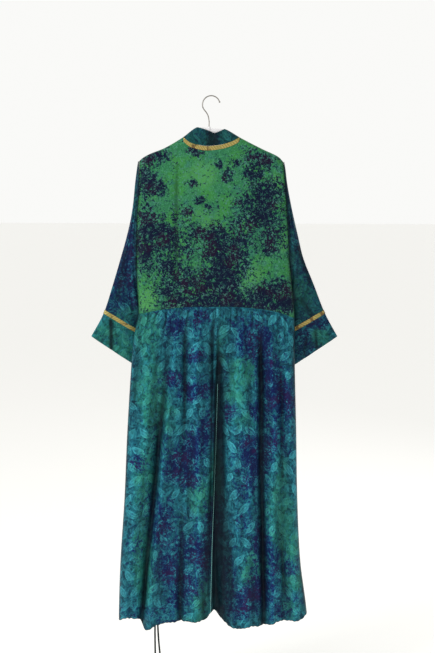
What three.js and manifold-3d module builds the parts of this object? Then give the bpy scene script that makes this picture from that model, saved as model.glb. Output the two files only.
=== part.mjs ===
// A long silk kimono robe hung on a plain hanger. Millimetres, +Z up.
// The origin is the inside top of the hanger's hook, where a rod or a nail holds it.
// -Y is the robe's back, +Y its open front, -X its wearer's left and +X the wearer's right.
// Every piece of cloth is a wall around a middle surface that is worked out from the tables below.
import * as THREE from "three";
import { mergeVertices } from "three/addons/utils/BufferGeometryUtils.js";
import Module from "manifold-3d";

// ---------- driving sizes ----------
const CLOTH = 1.6; // wall of a single layer
const BAND = 2.2; // wall of the folded collar band
const RIBBON = 1.0; // wall of the woven ribbon
const RIBBON_WIDE = 12;
const SEAM = 0.3; // gap between two pieces at a seam, and under a ribbon
const ON_CLOTH = CLOTH / 2 + 1.2 * SEAM + RIBBON / 2; // from the cloth's middle to its ribbon's middle
const FOLD_OVER = 9; // radius of the cloth where it lies over the hanger's arm
const SIDE_TURN = 22; // how far in from a side seam the cloth turns flat
const UNDERARM = -440;
const SHOULDER_END = -176;
const ARMHOLE_HALF = 9; // half the depth of the armhole between back and front
const NECK_HALF = 0.39; // where the neck point lies between the middle and the side
const CREASE = { x: 6, low: 34, high: 4, deep: 3 }; // the dent in the middle of the collar
const HANGER = { from: -193, to: 193, thick: 8, high: 15, below: 1.9, hubX: -6, hubR: 5 };
const HOOK = { wire: 1.6, bend: 24, stemTop: -64, end: 18, ball: 2.4, seat: -97 };
const TIE = { radius: 2.5, knot: 5 };

// The body's side edges and the depth of its back and front layers, down from the shoulders.
const BODY = [
  { z: -176, left: -198, right: 199, back: 10, front: 10 },
  { z: -260, left: -199, right: 205.5, back: 11, front: 10 },
  { z: -340, left: -205, right: 212, back: 12, front: 11 },
  { z: -440, left: -207, right: 219, back: 13, front: 12 },
  { z: -520, left: -206, right: 228, back: 15, front: 14 },
  { z: -597, left: -203, right: 236, back: 17, front: 15 },
  { z: -665, left: -217, right: 238.5, back: 19, front: 16 },
  { z: -750, left: -225, right: 240, back: 20, front: 16 },
  { z: -940, left: -238, right: 247, back: 21, front: 17 },
  { z: -1135, left: -248, right: 253, back: 22, front: 18 },
  { z: -1330, left: -262, right: 265, back: 23, front: 19 },
  { z: -1475, left: -268, right: 285, back: 23, front: 20 },
  { z: -1540, left: -268, right: 288, back: 23, front: 20 },
];

// The line on which the cloth lies over the hanger.
const SHOULDER = [
  { x: -198, z: -176 },
  { x: -188, z: -167 },
  { x: -168, z: -156 },
  { x: -127, z: -139.5 },
  { x: -76.9, z: -110.5 },
  { x: -38, z: -83.5 },
  { x: 0, z: -84 },
  { x: 37, z: -88 },
  { x: 77.9, z: -110 },
  { x: 140, z: -141 },
  { x: 176, z: -157 },
  { x: 189, z: -165 },
  { x: 199, z: -176 },
];

// The seam between the back and the collar.
const NECK = [
  { x: -76.9, z: -110.5 },
  { x: -58, z: -124.5 },
  { x: -36, z: -131 },
  { x: -17, z: -134 },
  { x: 2, z: -133.5 },
  { x: 30, z: -129.5 },
  { x: 57, z: -121 },
  { x: 77.9, z: -110 },
];

// The collar's free edge across the back: two peaks with a dip between them.
const COLLAR_TOP = [
  { x: -38, z: -83.5 },
  { x: -17, z: -89.5 },
  { x: -1, z: -95 },
  { x: 6, z: -99 },
  { x: 16, z: -97 },
  { x: 37, z: -88 },
];

const WAIST = [
  { x: -203, z: -598 },
  { x: -138, z: -585.5 },
  { x: -67, z: -578 },
  { x: 10, z: -577 },
  { x: 82, z: -578 },
  { x: 149, z: -585 },
  { x: 195, z: -594.5 },
  { x: 236, z: -610 },
];

const HEM_BACK = [
  { x: -268, z: -1506 },
  { x: -250, z: -1493 },
  { x: -225, z: -1492 },
  { x: -206, z: -1500 },
  { x: -192, z: -1526 },
  { x: -178, z: -1524 },
  { x: -160, z: -1514 },
  { x: -110, z: -1506 },
  { x: -40, z: -1503 },
  { x: -12, z: -1498 },
  { x: 0, z: -1479 },
  { x: 14, z: -1477 },
  { x: 28, z: -1495 },
  { x: 43, z: -1508 },
  { x: 60, z: -1521 },
  { x: 119, z: -1522 },
  { x: 157, z: -1521 },
  { x: 195, z: -1508 },
  { x: 240, z: -1504 },
  { x: 268, z: -1500 },
  { x: 287, z: -1488 },
];

const HEM_FRONT = [
  { x: -268, z: -1506 },
  { x: -210, z: -1500 },
  { x: -12, z: -1492 },
  { x: 32, z: -1490 },
  { x: 210, z: -1494 },
  { x: 287, z: -1488 },
];

// The middle seam of the skirt's back.
const BACK_SEAM = [
  { z: -577, x: 14 },
  { z: -750, x: 20 },
  { z: -960, x: 16 },
  { z: -1260, x: 6 },
  { z: -1480, x: 1 },
];

// The front edges: where each collar band is sewn on, and its free edge.
const FRONT_EDGE = [
  { z: -83.5, leftSeam: -80, leftFree: -38, rightSeam: 81, rightFree: 37 },
  { z: -110.5, leftSeam: -76.9, leftFree: -36, rightSeam: 77.9, rightFree: 36 },
  { z: -200, leftSeam: -74, leftFree: -26, rightSeam: 75, rightFree: 27 },
  { z: -300, leftSeam: -66, leftFree: -16, rightSeam: 67, rightFree: 18 },
  { z: -400, leftSeam: -57, leftFree: -7, rightSeam: 61, rightFree: 11 },
  { z: -597, leftSeam: -50, leftFree: 0, rightSeam: 60, rightFree: 10 },
  { z: -1500, leftSeam: -62, leftFree: -12, rightSeam: 82, rightFree: 32 },
];

// Folds in the back, as ridges (rise over 0) and troughs. A fold's line runs from x0, z0 to x1, z1.
// It is `left` and `right` wide, rises over `grow` below z0, and dies over `grow` above z1 if `ends`.
const FOLDS_BACK = [
  { x0: -97, z0: -180, x1: -100, z1: -560, left: 16, right: 12, rise: -2.5, grow: 90, ends: true },
  { x0: -60, z0: -200, x1: -66, z1: -575, left: 30, right: 34, rise: 2.5, grow: 120, ends: true },
  { x0: 95, z0: -220, x1: 120, z1: -575, left: 44, right: 36, rise: 3, grow: 120, ends: true },
  { x0: -165, z0: -585, x1: -232, z1: -1500, left: 40, right: 36, rise: 7, grow: 300 },
  { x0: -106, z0: -585, x1: -200, z1: -1500, left: 26, right: 13, rise: -14, grow: 420 },
  { x0: -90, z0: -578, x1: -178, z1: -1500, left: 13, right: 48, rise: 11, grow: 420 },
  { x0: -70, z0: -578, x1: -88, z1: -1500, left: 15, right: 15, rise: -7, grow: 160 },
  { x0: -34, z0: -578, x1: -42, z1: -1500, left: 28, right: 24, rise: 8, grow: 200 },
  { x0: 16, z0: -590, x1: 18, z1: -1500, left: 30, right: 42, rise: -19, grow: 240 },
  { x0: 14, z0: -590, x1: 1, z1: -1500, left: 7, right: 9, rise: 9, grow: 160 },
  { x0: 84, z0: -578, x1: 82, z1: -1500, left: 32, right: 44, rise: 13, grow: 300 },
  { x0: 137, z0: -585, x1: 158, z1: -1500, left: 17, right: 20, rise: -14, grow: 160 },
  { x0: 172, z0: -590, x1: 186, z1: -1500, left: 18, right: 17, rise: 8, grow: 200 },
  { x0: 196, z0: -600, x1: 216, z1: -1500, left: 13, right: 15, rise: -7, grow: 200 },
  { x0: 216, z0: -600, x1: 250, z1: -1500, left: 20, right: 24, rise: 6, grow: 300 },
];

const FOLDS_FRONT = [
  { x0: -120, z0: -250, x1: -110, z1: -575, left: 36, right: 30, rise: 2.5, grow: 120, ends: true },
  { x0: 130, z0: -250, x1: 138, z1: -575, left: 34, right: 34, rise: 2.5, grow: 120, ends: true },
  { x0: -180, z0: -590, x1: -215, z1: -1500, left: 32, right: 32, rise: 5, grow: 700 },
  { x0: -120, z0: -590, x1: -132, z1: -1500, left: 22, right: 22, rise: -5, grow: 500 },
  { x0: -85, z0: -585, x1: -96, z1: -1500, left: 24, right: 22, rise: 8, grow: 400 },
  { x0: 98, z0: -585, x1: 122, z1: -1500, left: 24, right: 24, rise: 9, grow: 400 },
  { x0: 140, z0: -590, x1: 165, z1: -1500, left: 20, right: 20, rise: -6, grow: 500 },
  { x0: 190, z0: -595, x1: 222, z1: -1500, left: 28, right: 28, rise: 5, grow: 700 },
];

// The share of a back panel's width that its middle column has at the waist and at the hem.
const LEAN = { left: { top: 0.45, hem: 0.26 }, right: { top: 0.5, hem: 0.5 } };

// A sleeve's outer edge, from the shoulder's end past the cuff seam to the cuff's end.
const SLEEVE_OUTER = [
  { z: -176, left: -200.8, right: 201.8, y: 0 },
  { z: -195, left: -204, right: 205.5, y: 0.5 },
  { z: -235, left: -209.5, right: 211, y: 1 },
  { z: -290, left: -215.5, right: 222, y: 2.5 },
  { z: -335, left: -223, right: 232.5, y: 4 },
  { z: -382, left: -234.5, right: 244.5, y: 7 },
  { z: -442, left: -252, right: 260.5, y: 11 },
  { z: -515, left: -274.5, right: 291, y: 15 },
  { z: -600, left: -303, right: 326, y: 18 },
  { z: -668, left: -340, right: 364, y: 20 },
];

// Its inner edge, which passes behind the front from the underarm (place 1) over the cuff seam
// (place 2) to the cuff's end (place 3), and the height of the outer edge level with each row.
const SLEEVE_ROWS = [
  { place: 0, outerZ: -176.3, left: -200, right: 201, y: 0, z: -176 },
  { place: 0.5, outerZ: -286, left: -202, right: 210, y: 0, z: -308 },
  { place: 1, outerZ: -404, left: -207, right: 219, y: 0, z: -440 },
  { place: 1.15, outerZ: -434, left: -208, right: 223, y: 9, z: -470 },
  { place: 1.35, outerZ: -474, left: -200, right: 219, y: 23, z: -518 },
  { place: 1.6, outerZ: -524, left: -177, right: 193, y: 34, z: -590 },
  { place: 1.8, outerZ: -562, left: -150, right: 168, y: 39, z: -652 },
  { place: 2, outerZ: -600, left: -121, right: 140, y: 41, z: -713 },
  { place: 3, outerZ: -666, left: -163, right: 188, y: 42, z: -789 },
];
const SLEEVE_HALF = 8; // half the depth of a sleeve between its back and front layers
const SLEEVE_FOLD = 1.4; // half the depth left at its inner fold
const SLEEVE_TOP = 3; // half its depth at the shoulder's end
const CUFF_GAP = 0.005; // the share of the cuff that its seam gap takes
const RIBBON_SHARE = 0.068; // the share of a sleeve's lower half that the ribbon covers

// The two tails of the inner tie, sewn into the waist seam inside the left front.
const TIES = [
  { name: "tie_tail_outer", x: [-164, -164, -163, -162, -163, -162], end: -1668 },
  { name: "tie_tail_inner", x: [-156, -156, -157, -156, -152, -141], end: -1690 },
];
const TIE_Y = [11.6, 9, 8, 8, 7, 6];
const TIE_DOWN = [0, 0.16, 0.47, 0.8, 0.9, 1]; // how far down a tail each x and y lies
const TIE_TOP = -592;

// How finely each piece is divided.
const GRID = { side: 10, front: 7, skirtAcross: 22, skirtDown: 14, frontDown: 11 };
const FINE = { sleeve: 5, cuff: 2, collar: 3, arm: 24, armSides: 10, hook: 40, tail: 16, sides: 8 };
const TOP_STEP = 4; // the first rows below a shoulder or the neck are this far apart
const TOP_ROWS = 4;
const TO_UNDERARM = [0.27, 0.54, 0.78, 0.92, 1]; // where the next rows lie on the way to the underarm
const TO_WAIST = [0.34, 0.67, 1];
const BODICE_ROWS = TOP_ROWS + TO_UNDERARM.length + TO_WAIST.length;
// Places from a neck point to the middle, closest together where the seam meets the ridge.
const NECK_COLUMNS = [0, 0.006, 0.02, 0.05, 0.11, 0.19, 0.28, 0.37, 0.44, 0.5];
const SLEEVE_COLUMNS = [-1, -0.94, -0.82, -0.6, -0.35, -0.15, -0.04]; // from the inner to the outer edge
const SEAM_SHARE = SEAM / 40; // the share of the collar's width that its seam gap takes
const SMALL = 1e-4;
const STEP = 0.01; // how far apart the points are that a surface's slope is taken from

const COLOURS = {
  silkYoke: { color: 0x2c7a4b, roughness: 0.55, metalness: 0 },
  silkPrint: { color: 0x1f6a70, roughness: 0.5, metalness: 0 },
  ribbon: { color: 0xb59a4e, roughness: 0.4, metalness: 0.3 },
  cord: { color: 0x101c1c, roughness: 0.6, metalness: 0 },
  plastic: { color: 0xf0eef0, roughness: 0.4, metalness: 0 },
  wire: { color: 0xb8b6b0, roughness: 0.3, metalness: 0.9 },
};

// ---------- lines and surfaces ----------
const mix = (a, b, t) => a + (b - a) * t;
const clamp01 = (t) => Math.min(1, Math.max(0, t));
const ease = (t) => clamp01(t) ** 2 * (3 - 2 * clamp01(t));

// Column `of` of a table at the place `at` in column `by`, on a smooth line through its rows.
function read(table, by, of, at) {
  const up = table[0][by] < table[table.length - 1][by] ? 1 : -1;
  const last = table.length - 1;
  if ((at - table[0][by]) * up <= 0) return table[0][of];
  if ((at - table[last][by]) * up >= 0) return table[last][of];
  let i = 0;
  while ((at - table[i + 1][by]) * up > 0) i++;
  const slope = (k) => {
    const a = table[Math.max(k - 1, 0)];
    const b = table[Math.min(k + 1, last)];
    return (b[of] - a[of]) / (b[by] - a[by]);
  };
  const step = table[i + 1][by] - table[i][by];
  const t = (at - table[i][by]) / step;
  return (
    table[i][of] * (1 + 2 * t) * (1 - t) ** 2 +
    slope(i) * step * t * (1 - t) ** 2 +
    table[i + 1][of] * t * t * (3 - 2 * t) +
    slope(i + 1) * step * t * t * (t - 1)
  );
}

const shoulder = (x) => read(SHOULDER, "x", "z", x);

// The height of all folds of a table at x, z.
function folds(table, x, z) {
  let rise = 0;
  for (const f of table) {
    const down = (f.z0 - z) / (f.z0 - f.z1);
    const off = x - mix(f.x0, f.x1, Math.max(down, 0));
    const share = Math.abs(off) / (off < 0 ? f.left : f.right);
    if (share >= 1 || down <= 0) continue;
    const end = f.ends ? ease((z - f.z1) / f.grow) : 1;
    rise += f.rise * ease((f.z0 - z) / f.grow) * end * 0.5 * (1 + Math.cos(Math.PI * share));
  }
  return rise;
}

// Half the depth of the armhole's edge at z, and 0 below the underarm.
function armhole(z) {
  const share = (SHOULDER_END - z) / (SHOULDER_END - UNDERARM);
  return share <= 0 || share >= 1 ? 0 : ARMHOLE_HALF * (4 * share * (1 - share)) ** 0.25;
}

// A point of the body's back (face -1) or front (face 1) at x, z.
function body(face, x, z) {
  const left = read(BODY, "z", "left", z);
  const right = read(BODY, "z", "right", z);
  const depth = read(BODY, "z", face < 0 ? "back" : "front", z);
  const inFromEdge = Math.max(0, Math.min(x - left, right - x));
  const q = clamp01(inFromEdge / SIDE_TURN);
  const round = Math.sqrt(1 - (1 - q) ** 2);
  const lift = mix(ease(q), round, ease((UNDERARM + 20 - z) / 30));
  const over = clamp01((shoulder(x) - z) / FOLD_OVER);
  const arch = Math.sqrt(1 - (1 - over) ** 2);
  const edge = armhole(z);
  const fold = folds(face < 0 ? FOLDS_BACK : FOLDS_FRONT, x, z) * ease(inFromEdge / 34);
  const y = edge + (arch * depth - edge) * lift + fold * ease((shoulder(x) - z) / 60);
  return new THREE.Vector3(x, face * (y + SEAM / 2), z);
}

// How far the cloth at x still runs over the hanger's arm below zTop, before it hangs straight.
function arcLeft(x, zTop) {
  return FOLD_OVER * (Math.PI / 2 - Math.acos(clamp01(1 - (shoulder(x) - zTop) / FOLD_OVER)));
}

// The height of the cloth at x after `distance` along it from zTop.
function goDown(x, zTop, distance) {
  const arc = arcLeft(x, zTop);
  if (distance >= arc) return (arc > 0 ? shoulder(x) - FOLD_OVER : zTop) - (distance - arc);
  const angle = Math.PI / 2 - (arc - distance) / FOLD_OVER;
  return shoulder(x) - FOLD_OVER * (1 - Math.cos(angle));
}

// The height of a bodice's row between zTop and zEnd, with one row at the underarm.
function rowHeight(row, x, zTop, zEnd) {
  if (row <= TOP_ROWS) return goDown(x, zTop, row * TOP_STEP);
  const first = goDown(x, zTop, TOP_ROWS * TOP_STEP);
  const upper = TO_UNDERARM.map((share) => mix(first, UNDERARM, share));
  const heights = [first, ...upper, ...TO_WAIST.map((share) => mix(UNDERARM, zEnd, share))];
  const i = Math.min(Math.floor(row) - TOP_ROWS, heights.length - 2);
  return mix(heights[i], heights[i + 1], row - TOP_ROWS - i);
}

// The way out of the cloth at x, z: square to a line level with the ridge and to a line down.
function bodyNormal(face, x, z) {
  const below = shoulder(x) - z;
  const level = body(face, x + STEP, shoulder(x + STEP) - below);
  level.sub(body(face, x - STEP, shoulder(x - STEP) - below));
  const down = body(face, x, goDown(x, z, STEP)).sub(body(face, x, z));
  return level.cross(down).normalize().multiplyScalar(face);
}

// ---------- walls ----------
// A closed wall of the given thickness about the middle surface at(u, v), moved out by `out` along
// normalAt(u, v). us and vs are the places of its columns and rows. From row `closed` on, its last
// column joins its first.
function wall(at, normalAt, us, vs, thick, out = 0, closed = Infinity) {
  const cols = us.length;
  const rows = vs.length;
  const points = [];
  for (const side of [1, -1])
    for (const v of vs)
      for (const u of us) points.push(at(u, v).addScaledVector(normalAt(u, v), out + (side * thick) / 2));
  const id = (side, i, j) => side * cols * rows + j * cols + (i % cols);
  const [mi, mj] = [Math.floor(cols / 2), Math.floor(rows / 2)];
  const corner = at(us[mi], vs[mj]);
  const acrossU = at(us[mi - 1], vs[mj]).sub(corner);
  const acrossV = at(us[mi], vs[mj - 1]).sub(corner);
  const turned = acrossU.cross(acrossV).dot(normalAt(us[mi], vs[mj])) < 0;
  const index = [];
  const quad = (a, b, c, d) => (turned ? index.push(a, c, b, a, d, c) : index.push(a, b, c, a, c, d));
  const cells = (j) => (j < closed ? cols - 1 : cols);
  const end = (i, j) => quad(id(0, i, j), id(1, i, j), id(1, i + 1, j), id(0, i + 1, j));
  for (let j = 0; j < rows - 1; j++) {
    for (let i = 0; i < cells(j); i++) {
      quad(id(0, i, j), id(0, i + 1, j), id(0, i + 1, j + 1), id(0, i, j + 1));
      quad(id(1, i, j), id(1, i, j + 1), id(1, i + 1, j + 1), id(1, i + 1, j));
    }
    if (j < closed) {
      quad(id(0, 0, j), id(0, 0, j + 1), id(1, 0, j + 1), id(1, 0, j));
      quad(id(0, cols - 1, j), id(1, cols - 1, j), id(1, cols - 1, j + 1), id(0, cols - 1, j + 1));
    }
  }
  for (let i = 0; i < cells(0); i++) end(i, 0);
  if (closed > 0 && closed < rows) end(cols - 1, closed);
  for (let i = 0; i < cells(rows - 1); i++)
    quad(id(0, i, rows - 1), id(0, i + 1, rows - 1), id(1, i + 1, rows - 1), id(1, i, rows - 1));
  return indexed(points, index);
}

function indexed(points, index) {
  const geometry = new THREE.BufferGeometry().setFromPoints(points);
  geometry.setIndex(index);
  return geometry;
}

const evenly = (n, from = 0, to = 1) => Array.from({ length: n + 1 }, (_, i) => mix(from, to, i / n));

// ---------- the cloth pieces ----------
// A wall of the body's back (face -1) or front (face 1).
function cloth(face, at, us, vs, thick, out = 0) {
  const normalAt = (u, v) => {
    const point = at(u, v);
    return bodyNormal(face, point.x, point.z);
  };
  return wall(at, normalAt, us, vs, thick, out);
}

// The back bodice: u runs from -1 at the left side over the middle to 1 at the right side.
function bodiceBackAt(u, row) {
  const across = (z) => {
    const side = read(BODY, "z", u < 0 ? "left" : "right", z);
    const middle = (read(BODY, "z", "left", z) + read(BODY, "z", "right", z)) / 2;
    return mix(middle, side, Math.abs(u));
  };
  const xTop = across(SHOULDER_END);
  const zTop = Math.abs(u) < NECK_HALF ? read(NECK, "x", "z", xTop) : shoulder(xTop);
  const zEnd = read(WAIST, "x", "z", across(WAIST[0].z)) + SEAM;
  const z = rowHeight(row, xTop, zTop, zEnd);
  return body(-1, across(z), z);
}

const neckShares = [...NECK_COLUMNS, ...NECK_COLUMNS.slice(0, -1).map((s) => 1 - s).reverse()];
const neckColumns = neckShares.map((s) => mix(-NECK_HALF, NECK_HALF, s));
const bodiceColumns = [
  ...evenly(GRID.side, -1, -NECK_HALF),
  ...neckColumns.slice(1, -1),
  ...evenly(GRID.side, NECK_HALF, 1),
];
const bodiceRows = evenly(BODICE_ROWS, 0, BODICE_ROWS);

const bodiceBack = () => cloth(-1, bodiceBackAt, bodiceColumns, bodiceRows, CLOTH);

// The ribbon over the neck seam, made from the back bodice's own points.
const ribbonRows = evenly(RIBBON_WIDE / TOP_STEP, 0, RIBBON_WIDE / TOP_STEP);
const neckRibbon = () => cloth(-1, bodiceBackAt, neckColumns.slice(1, -1), ribbonRows, RIBBON, ON_CLOTH);

const mirror = (hand) => (hand === "left" ? -1 : 1);

// A front bodice, from its side (u 0) to the collar (u 1).
function bodiceFront(hand) {
  const across = (u, z) => mix(read(BODY, "z", hand, z), read(FRONT_EDGE, "z", hand + "Seam", z), u);
  const at = (u, row) => {
    const xTop = ridgeAt((z) => across(u, z));
    const zEnd = read(WAIST, "x", "z", across(u, WAIST[0].z)) + SEAM;
    const z = rowHeight(row, xTop, shoulder(xTop), zEnd);
    return body(1, across(u, z), z);
  };
  return cloth(1, at, evenly(GRID.front), bodiceRows, CLOTH);
}

// Where the line x = across(z) meets the ridge.
function ridgeAt(across) {
  let x = across(SHOULDER_END);
  for (let i = 0; i < 8; i++) x = across(shoulder(x));
  return x;
}

// A skirt panel between its side seam and the line inner(z). Its columns at the share `top` of its
// width lean to the share `hem` at its hem, so that they run along the main fold.
function skirt(face, hand, inner, hem, columns, rows, lean = { top: 0.5, hem: 0.5 }) {
  const across = (u, v, z) => {
    const knee = mix(lean.top, lean.hem, v);
    const share = u < lean.top ? (u / lean.top) * knee : mix(knee, 1, (u - lean.top) / (1 - lean.top));
    return mix(read(BODY, "z", hand, z), inner(z), share);
  };
  const at = (u, v) => {
    const zTop = read(WAIST, "x", "z", across(u, 0, WAIST[0].z)) - SEAM / 2;
    const z = mix(zTop, read(hem, "x", "z", across(u, 1, hem[0].z)), v);
    return body(face, across(u, v, z), z);
  };
  return cloth(face, at, evenly(columns), evenly(rows), CLOTH);
}

function skirtBack(hand) {
  const inner = (z) => read(BACK_SEAM, "z", "x", z) + (mirror(hand) * SEAM) / 2;
  return skirt(-1, hand, inner, HEM_BACK, GRID.skirtAcross, GRID.skirtDown, LEAN[hand]);
}

function skirtFront(hand) {
  const inner = (z) => read(FRONT_EDGE, "z", hand + "Seam", z);
  return skirt(1, hand, inner, HEM_FRONT, GRID.front, GRID.frontDown);
}

// A collar band's x across, from v 0 at its seam to v 1 at its free edge.
const bandAcross = (hand, v, z) =>
  mix(read(FRONT_EDGE, "z", hand + "Seam", z), read(FRONT_EDGE, "z", hand + "Free", z), v);

function collarFrontAt(hand, row, v) {
  const xTop = ridgeAt((z) => bandAcross(hand, v, z));
  const waist = read(WAIST, "x", "z", bandAcross(hand, v, WAIST[0].z));
  const hem = read(HEM_FRONT, "x", "z", bandAcross(hand, v, HEM_FRONT[0].z));
  const z =
    row < BODICE_ROWS
      ? rowHeight(row, xTop, shoulder(xTop), waist)
      : mix(waist, hem, (row - BODICE_ROWS) / GRID.frontDown);
  return body(1, bandAcross(hand, v, z), z);
}

// The collar across the back, from the ridge at the left (s 0) to the ridge at the right (s 1).
function collarBackAt(s, v) {
  const line = (share, across) => {
    const seamX = mix(NECK[0].x, NECK[NECK.length - 1].x, share);
    const freeX = mix(COLLAR_TOP[0].x, COLLAR_TOP[COLLAR_TOP.length - 1].x, share);
    const seam = new THREE.Vector2(seamX, read(NECK, "x", "z", seamX));
    return seam.lerp(new THREE.Vector2(freeX, read(COLLAR_TOP, "x", "z", freeX)), across);
  };
  const ridge = (hand) => {
    const x = ridgeAt((z) => bandAcross(hand, v, z));
    return new THREE.Vector2(x, shoulder(x));
  };
  const place = line(s, v);
  place.addScaledVector(ridge("left").sub(line(0, v)), 1 - s);
  place.addScaledVector(ridge("right").sub(line(1, v)), s);
  const point = body(-1, place.x, place.y);
  const off = Math.abs(place.x - CREASE.x * v) / mix(CREASE.low, CREASE.high, v);
  point.y += CREASE.deep * (1 - ease(off)) * ease(v * 4);
  return point;
}

const collarRows = evenly(FINE.collar, SEAM_SHARE, 1);
const collar = () => cloth(-1, collarBackAt, neckShares, collarRows, BAND);

// A collar band down the front, from its seam with the collar on the ridge to the hem.
function band(hand) {
  const at = (row, v) => collarFrontAt(hand, row, v);
  const rows = BODICE_ROWS + GRID.frontDown;
  return cloth(1, at, [SEAM / TOP_STEP, ...evenly(rows, 0, rows).slice(1)], collarRows, BAND);
}

// A point on a sleeve: u runs from -1 at the inner edge of its back layer over 0 at the outer edge
// to 1 at the inner edge of its front layer; place runs from 0 at the shoulder to 3 at the cuff's end.
function sleeveAt(hand, u, place) {
  const get = (of) => read(SLEEVE_ROWS, "place", of, place);
  const outerZ = get("outerZ");
  const outer = new THREE.Vector3(
    read(SLEEVE_OUTER, "z", hand, outerZ),
    read(SLEEVE_OUTER, "z", "y", outerZ),
    outerZ,
  );
  const inner = new THREE.Vector3(get(hand), get("y"), get("z"));
  if (place <= 1) {
    const z = mix(SHOULDER_END, UNDERARM, place);
    const clear = 2.8 * SEAM + (CLOTH / 2) * (2 * place - 1) ** 4;
    inner.set(read(BODY, "z", hand, z) + mirror(hand) * clear, 0, z);
  }
  const share = 1 - Math.abs(u);
  const edge = place <= 1 ? Math.max(armhole(inner.z), mix(SLEEVE_TOP, SLEEVE_FOLD, place)) : SLEEVE_FOLD;
  const room = ease(inner.distanceTo(outer) / 20);
  const turn = mix(ease(2 * share), Math.sqrt(1 - (1 - share) ** 4), ease(4 * place - 3));
  const section = mix(Math.sqrt(1 - share), Math.sqrt(1 - share ** 4), room);
  const half = mix(edge, SLEEVE_HALF, room * turn) * section;
  const point = inner.lerp(outer, share);
  point.y += Math.sign(u) * half;
  return point;
}

function sleeveNormal(hand, u, place) {
  const around = sleeveAt(hand, Math.min(1, u + SMALL), place);
  around.sub(sleeveAt(hand, Math.max(-1, u - SMALL), place));
  const along = sleeveAt(hand, u, place + SMALL);
  along.sub(sleeveAt(hand, u, Math.max(0, place - SMALL)));
  return around.cross(along).normalize().multiplyScalar(-mirror(hand));
}

const sleeveColumns = [...SLEEVE_COLUMNS, 0, ...SLEEVE_COLUMNS.map((u) => -u).reverse()];

// A wall along a sleeve's places, closed to a tube from row `closed` on.
function tube(hand, places, thick, out = 0, closed = 0) {
  const at = (u, place) => sleeveAt(hand, u, place);
  const normalAt = (u, place) => sleeveNormal(hand, u, place);
  return wall(at, normalAt, sleeveColumns, places, thick, out, closed);
}

// The rows of a sleeve: level with the bodice's rows down the armhole, then evenly to the ribbon.
const underarmRow = TOP_ROWS + TO_UNDERARM.length;
const armholePlaces = evenly(underarmRow, 0, underarmRow).map((row) => {
  const z = rowHeight(row, BODY[0].left, SHOULDER_END, WAIST[0].z);
  return clamp01((SHOULDER_END - z) / (SHOULDER_END - UNDERARM));
});
const sleevePlaces = [...armholePlaces, ...evenly(FINE.sleeve, 1, 2 - RIBBON_SHARE).slice(1), 2];

const sleeve = (hand) => tube(hand, sleevePlaces, CLOTH, 0, underarmRow);
const cuffRibbon = (hand) => tube(hand, sleevePlaces.slice(-2), RIBBON, ON_CLOTH);
const cuff = (hand) => tube(hand, evenly(FINE.cuff, 2 + CUFF_GAP, 3), CLOTH);

// ---------- the hanger and the ties ----------
const wasm = await Module();
wasm.setup();

function solid(geometry) {
  const bare = geometry.clone();
  bare.deleteAttribute("normal");
  bare.deleteAttribute("uv");
  const merged = mergeVertices(bare, 1e-3);
  const triVerts = new Uint32Array(merged.index.array);
  const vertProperties = merged.attributes.position.array;
  return new wasm.Manifold(new wasm.Mesh({ numProp: 3, vertProperties, triVerts }));
}

function fromSolid(manifold) {
  const mesh = manifold.getMesh();
  const geometry = new THREE.BufferGeometry();
  geometry.setAttribute("position", new THREE.BufferAttribute(mesh.vertProperties, 3));
  geometry.setIndex(new THREE.BufferAttribute(mesh.triVerts, 1));
  return geometry;
}

// A solid bar of elliptic section through rings at the given x places, with rounded ends.
function hangerArms() {
  const sides = FINE.armSides;
  const places = evenly(FINE.arm, HANGER.from, HANGER.to);
  const points = [];
  const index = [];
  places.forEach((x) => {
    const toEnd = Math.min(x - HANGER.from, HANGER.to - x);
    const size = Math.sqrt(1 - (1 - clamp01((toEnd + 2) / 14)) ** 2);
    const middle = shoulder(x) - HANGER.below - HANGER.high / 2;
    for (let k = 0; k < sides; k++) {
      const a = (k / sides) * 2 * Math.PI;
      const y = (HANGER.thick / 2) * size * Math.cos(a);
      points.push(new THREE.Vector3(x, y, middle + (HANGER.high / 2) * size * Math.sin(a)));
    }
  });
  const id = (i, k) => i * sides + (k % sides);
  for (let i = 0; i < places.length - 1; i++)
    for (let k = 0; k < sides; k++) {
      index.push(id(i, k), id(i + 1, k + 1), id(i + 1, k));
      index.push(id(i, k), id(i, k + 1), id(i + 1, k + 1));
    }
  const last = places.length - 1;
  for (let k = 1; k < sides - 1; k++) {
    index.push(id(0, 0), id(0, k + 1), id(0, k));
    index.push(id(last, 0), id(last, k), id(last, k + 1));
  }
  return indexed(points, index);
}

function post(radius, low, high, sides) {
  const geometry = new THREE.CylinderGeometry(radius, radius, high - low, sides);
  return geometry.rotateX(Math.PI / 2).translate(HANGER.hubX, 0, (low + high) / 2);
}

const hubTop = shoulder(HANGER.hubX) + 2;
const hangerBody = () => {
  const hub = solid(post(HANGER.hubR, hubTop - 20, hubTop, 12));
  const socket = solid(post(HOOK.wire + SEAM, HOOK.seat, hubTop + 5, FINE.sides));
  return fromSolid(solid(hangerArms()).add(hub).subtract(socket));
};

// A round bar along points, as an extrusion along their smooth curve.
function rod(points, radius, steps) {
  const shape = new THREE.Shape(
    Array.from({ length: FINE.sides }, (_, k) => {
      const a = (k / FINE.sides) * 2 * Math.PI;
      return new THREE.Vector2(radius * Math.cos(a), radius * Math.sin(a));
    }),
  );
  const extrudePath = new THREE.CatmullRomCurve3(points.map((p) => new THREE.Vector3(...p)));
  return new THREE.ExtrudeGeometry(shape, { steps, extrudePath });
}

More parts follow.
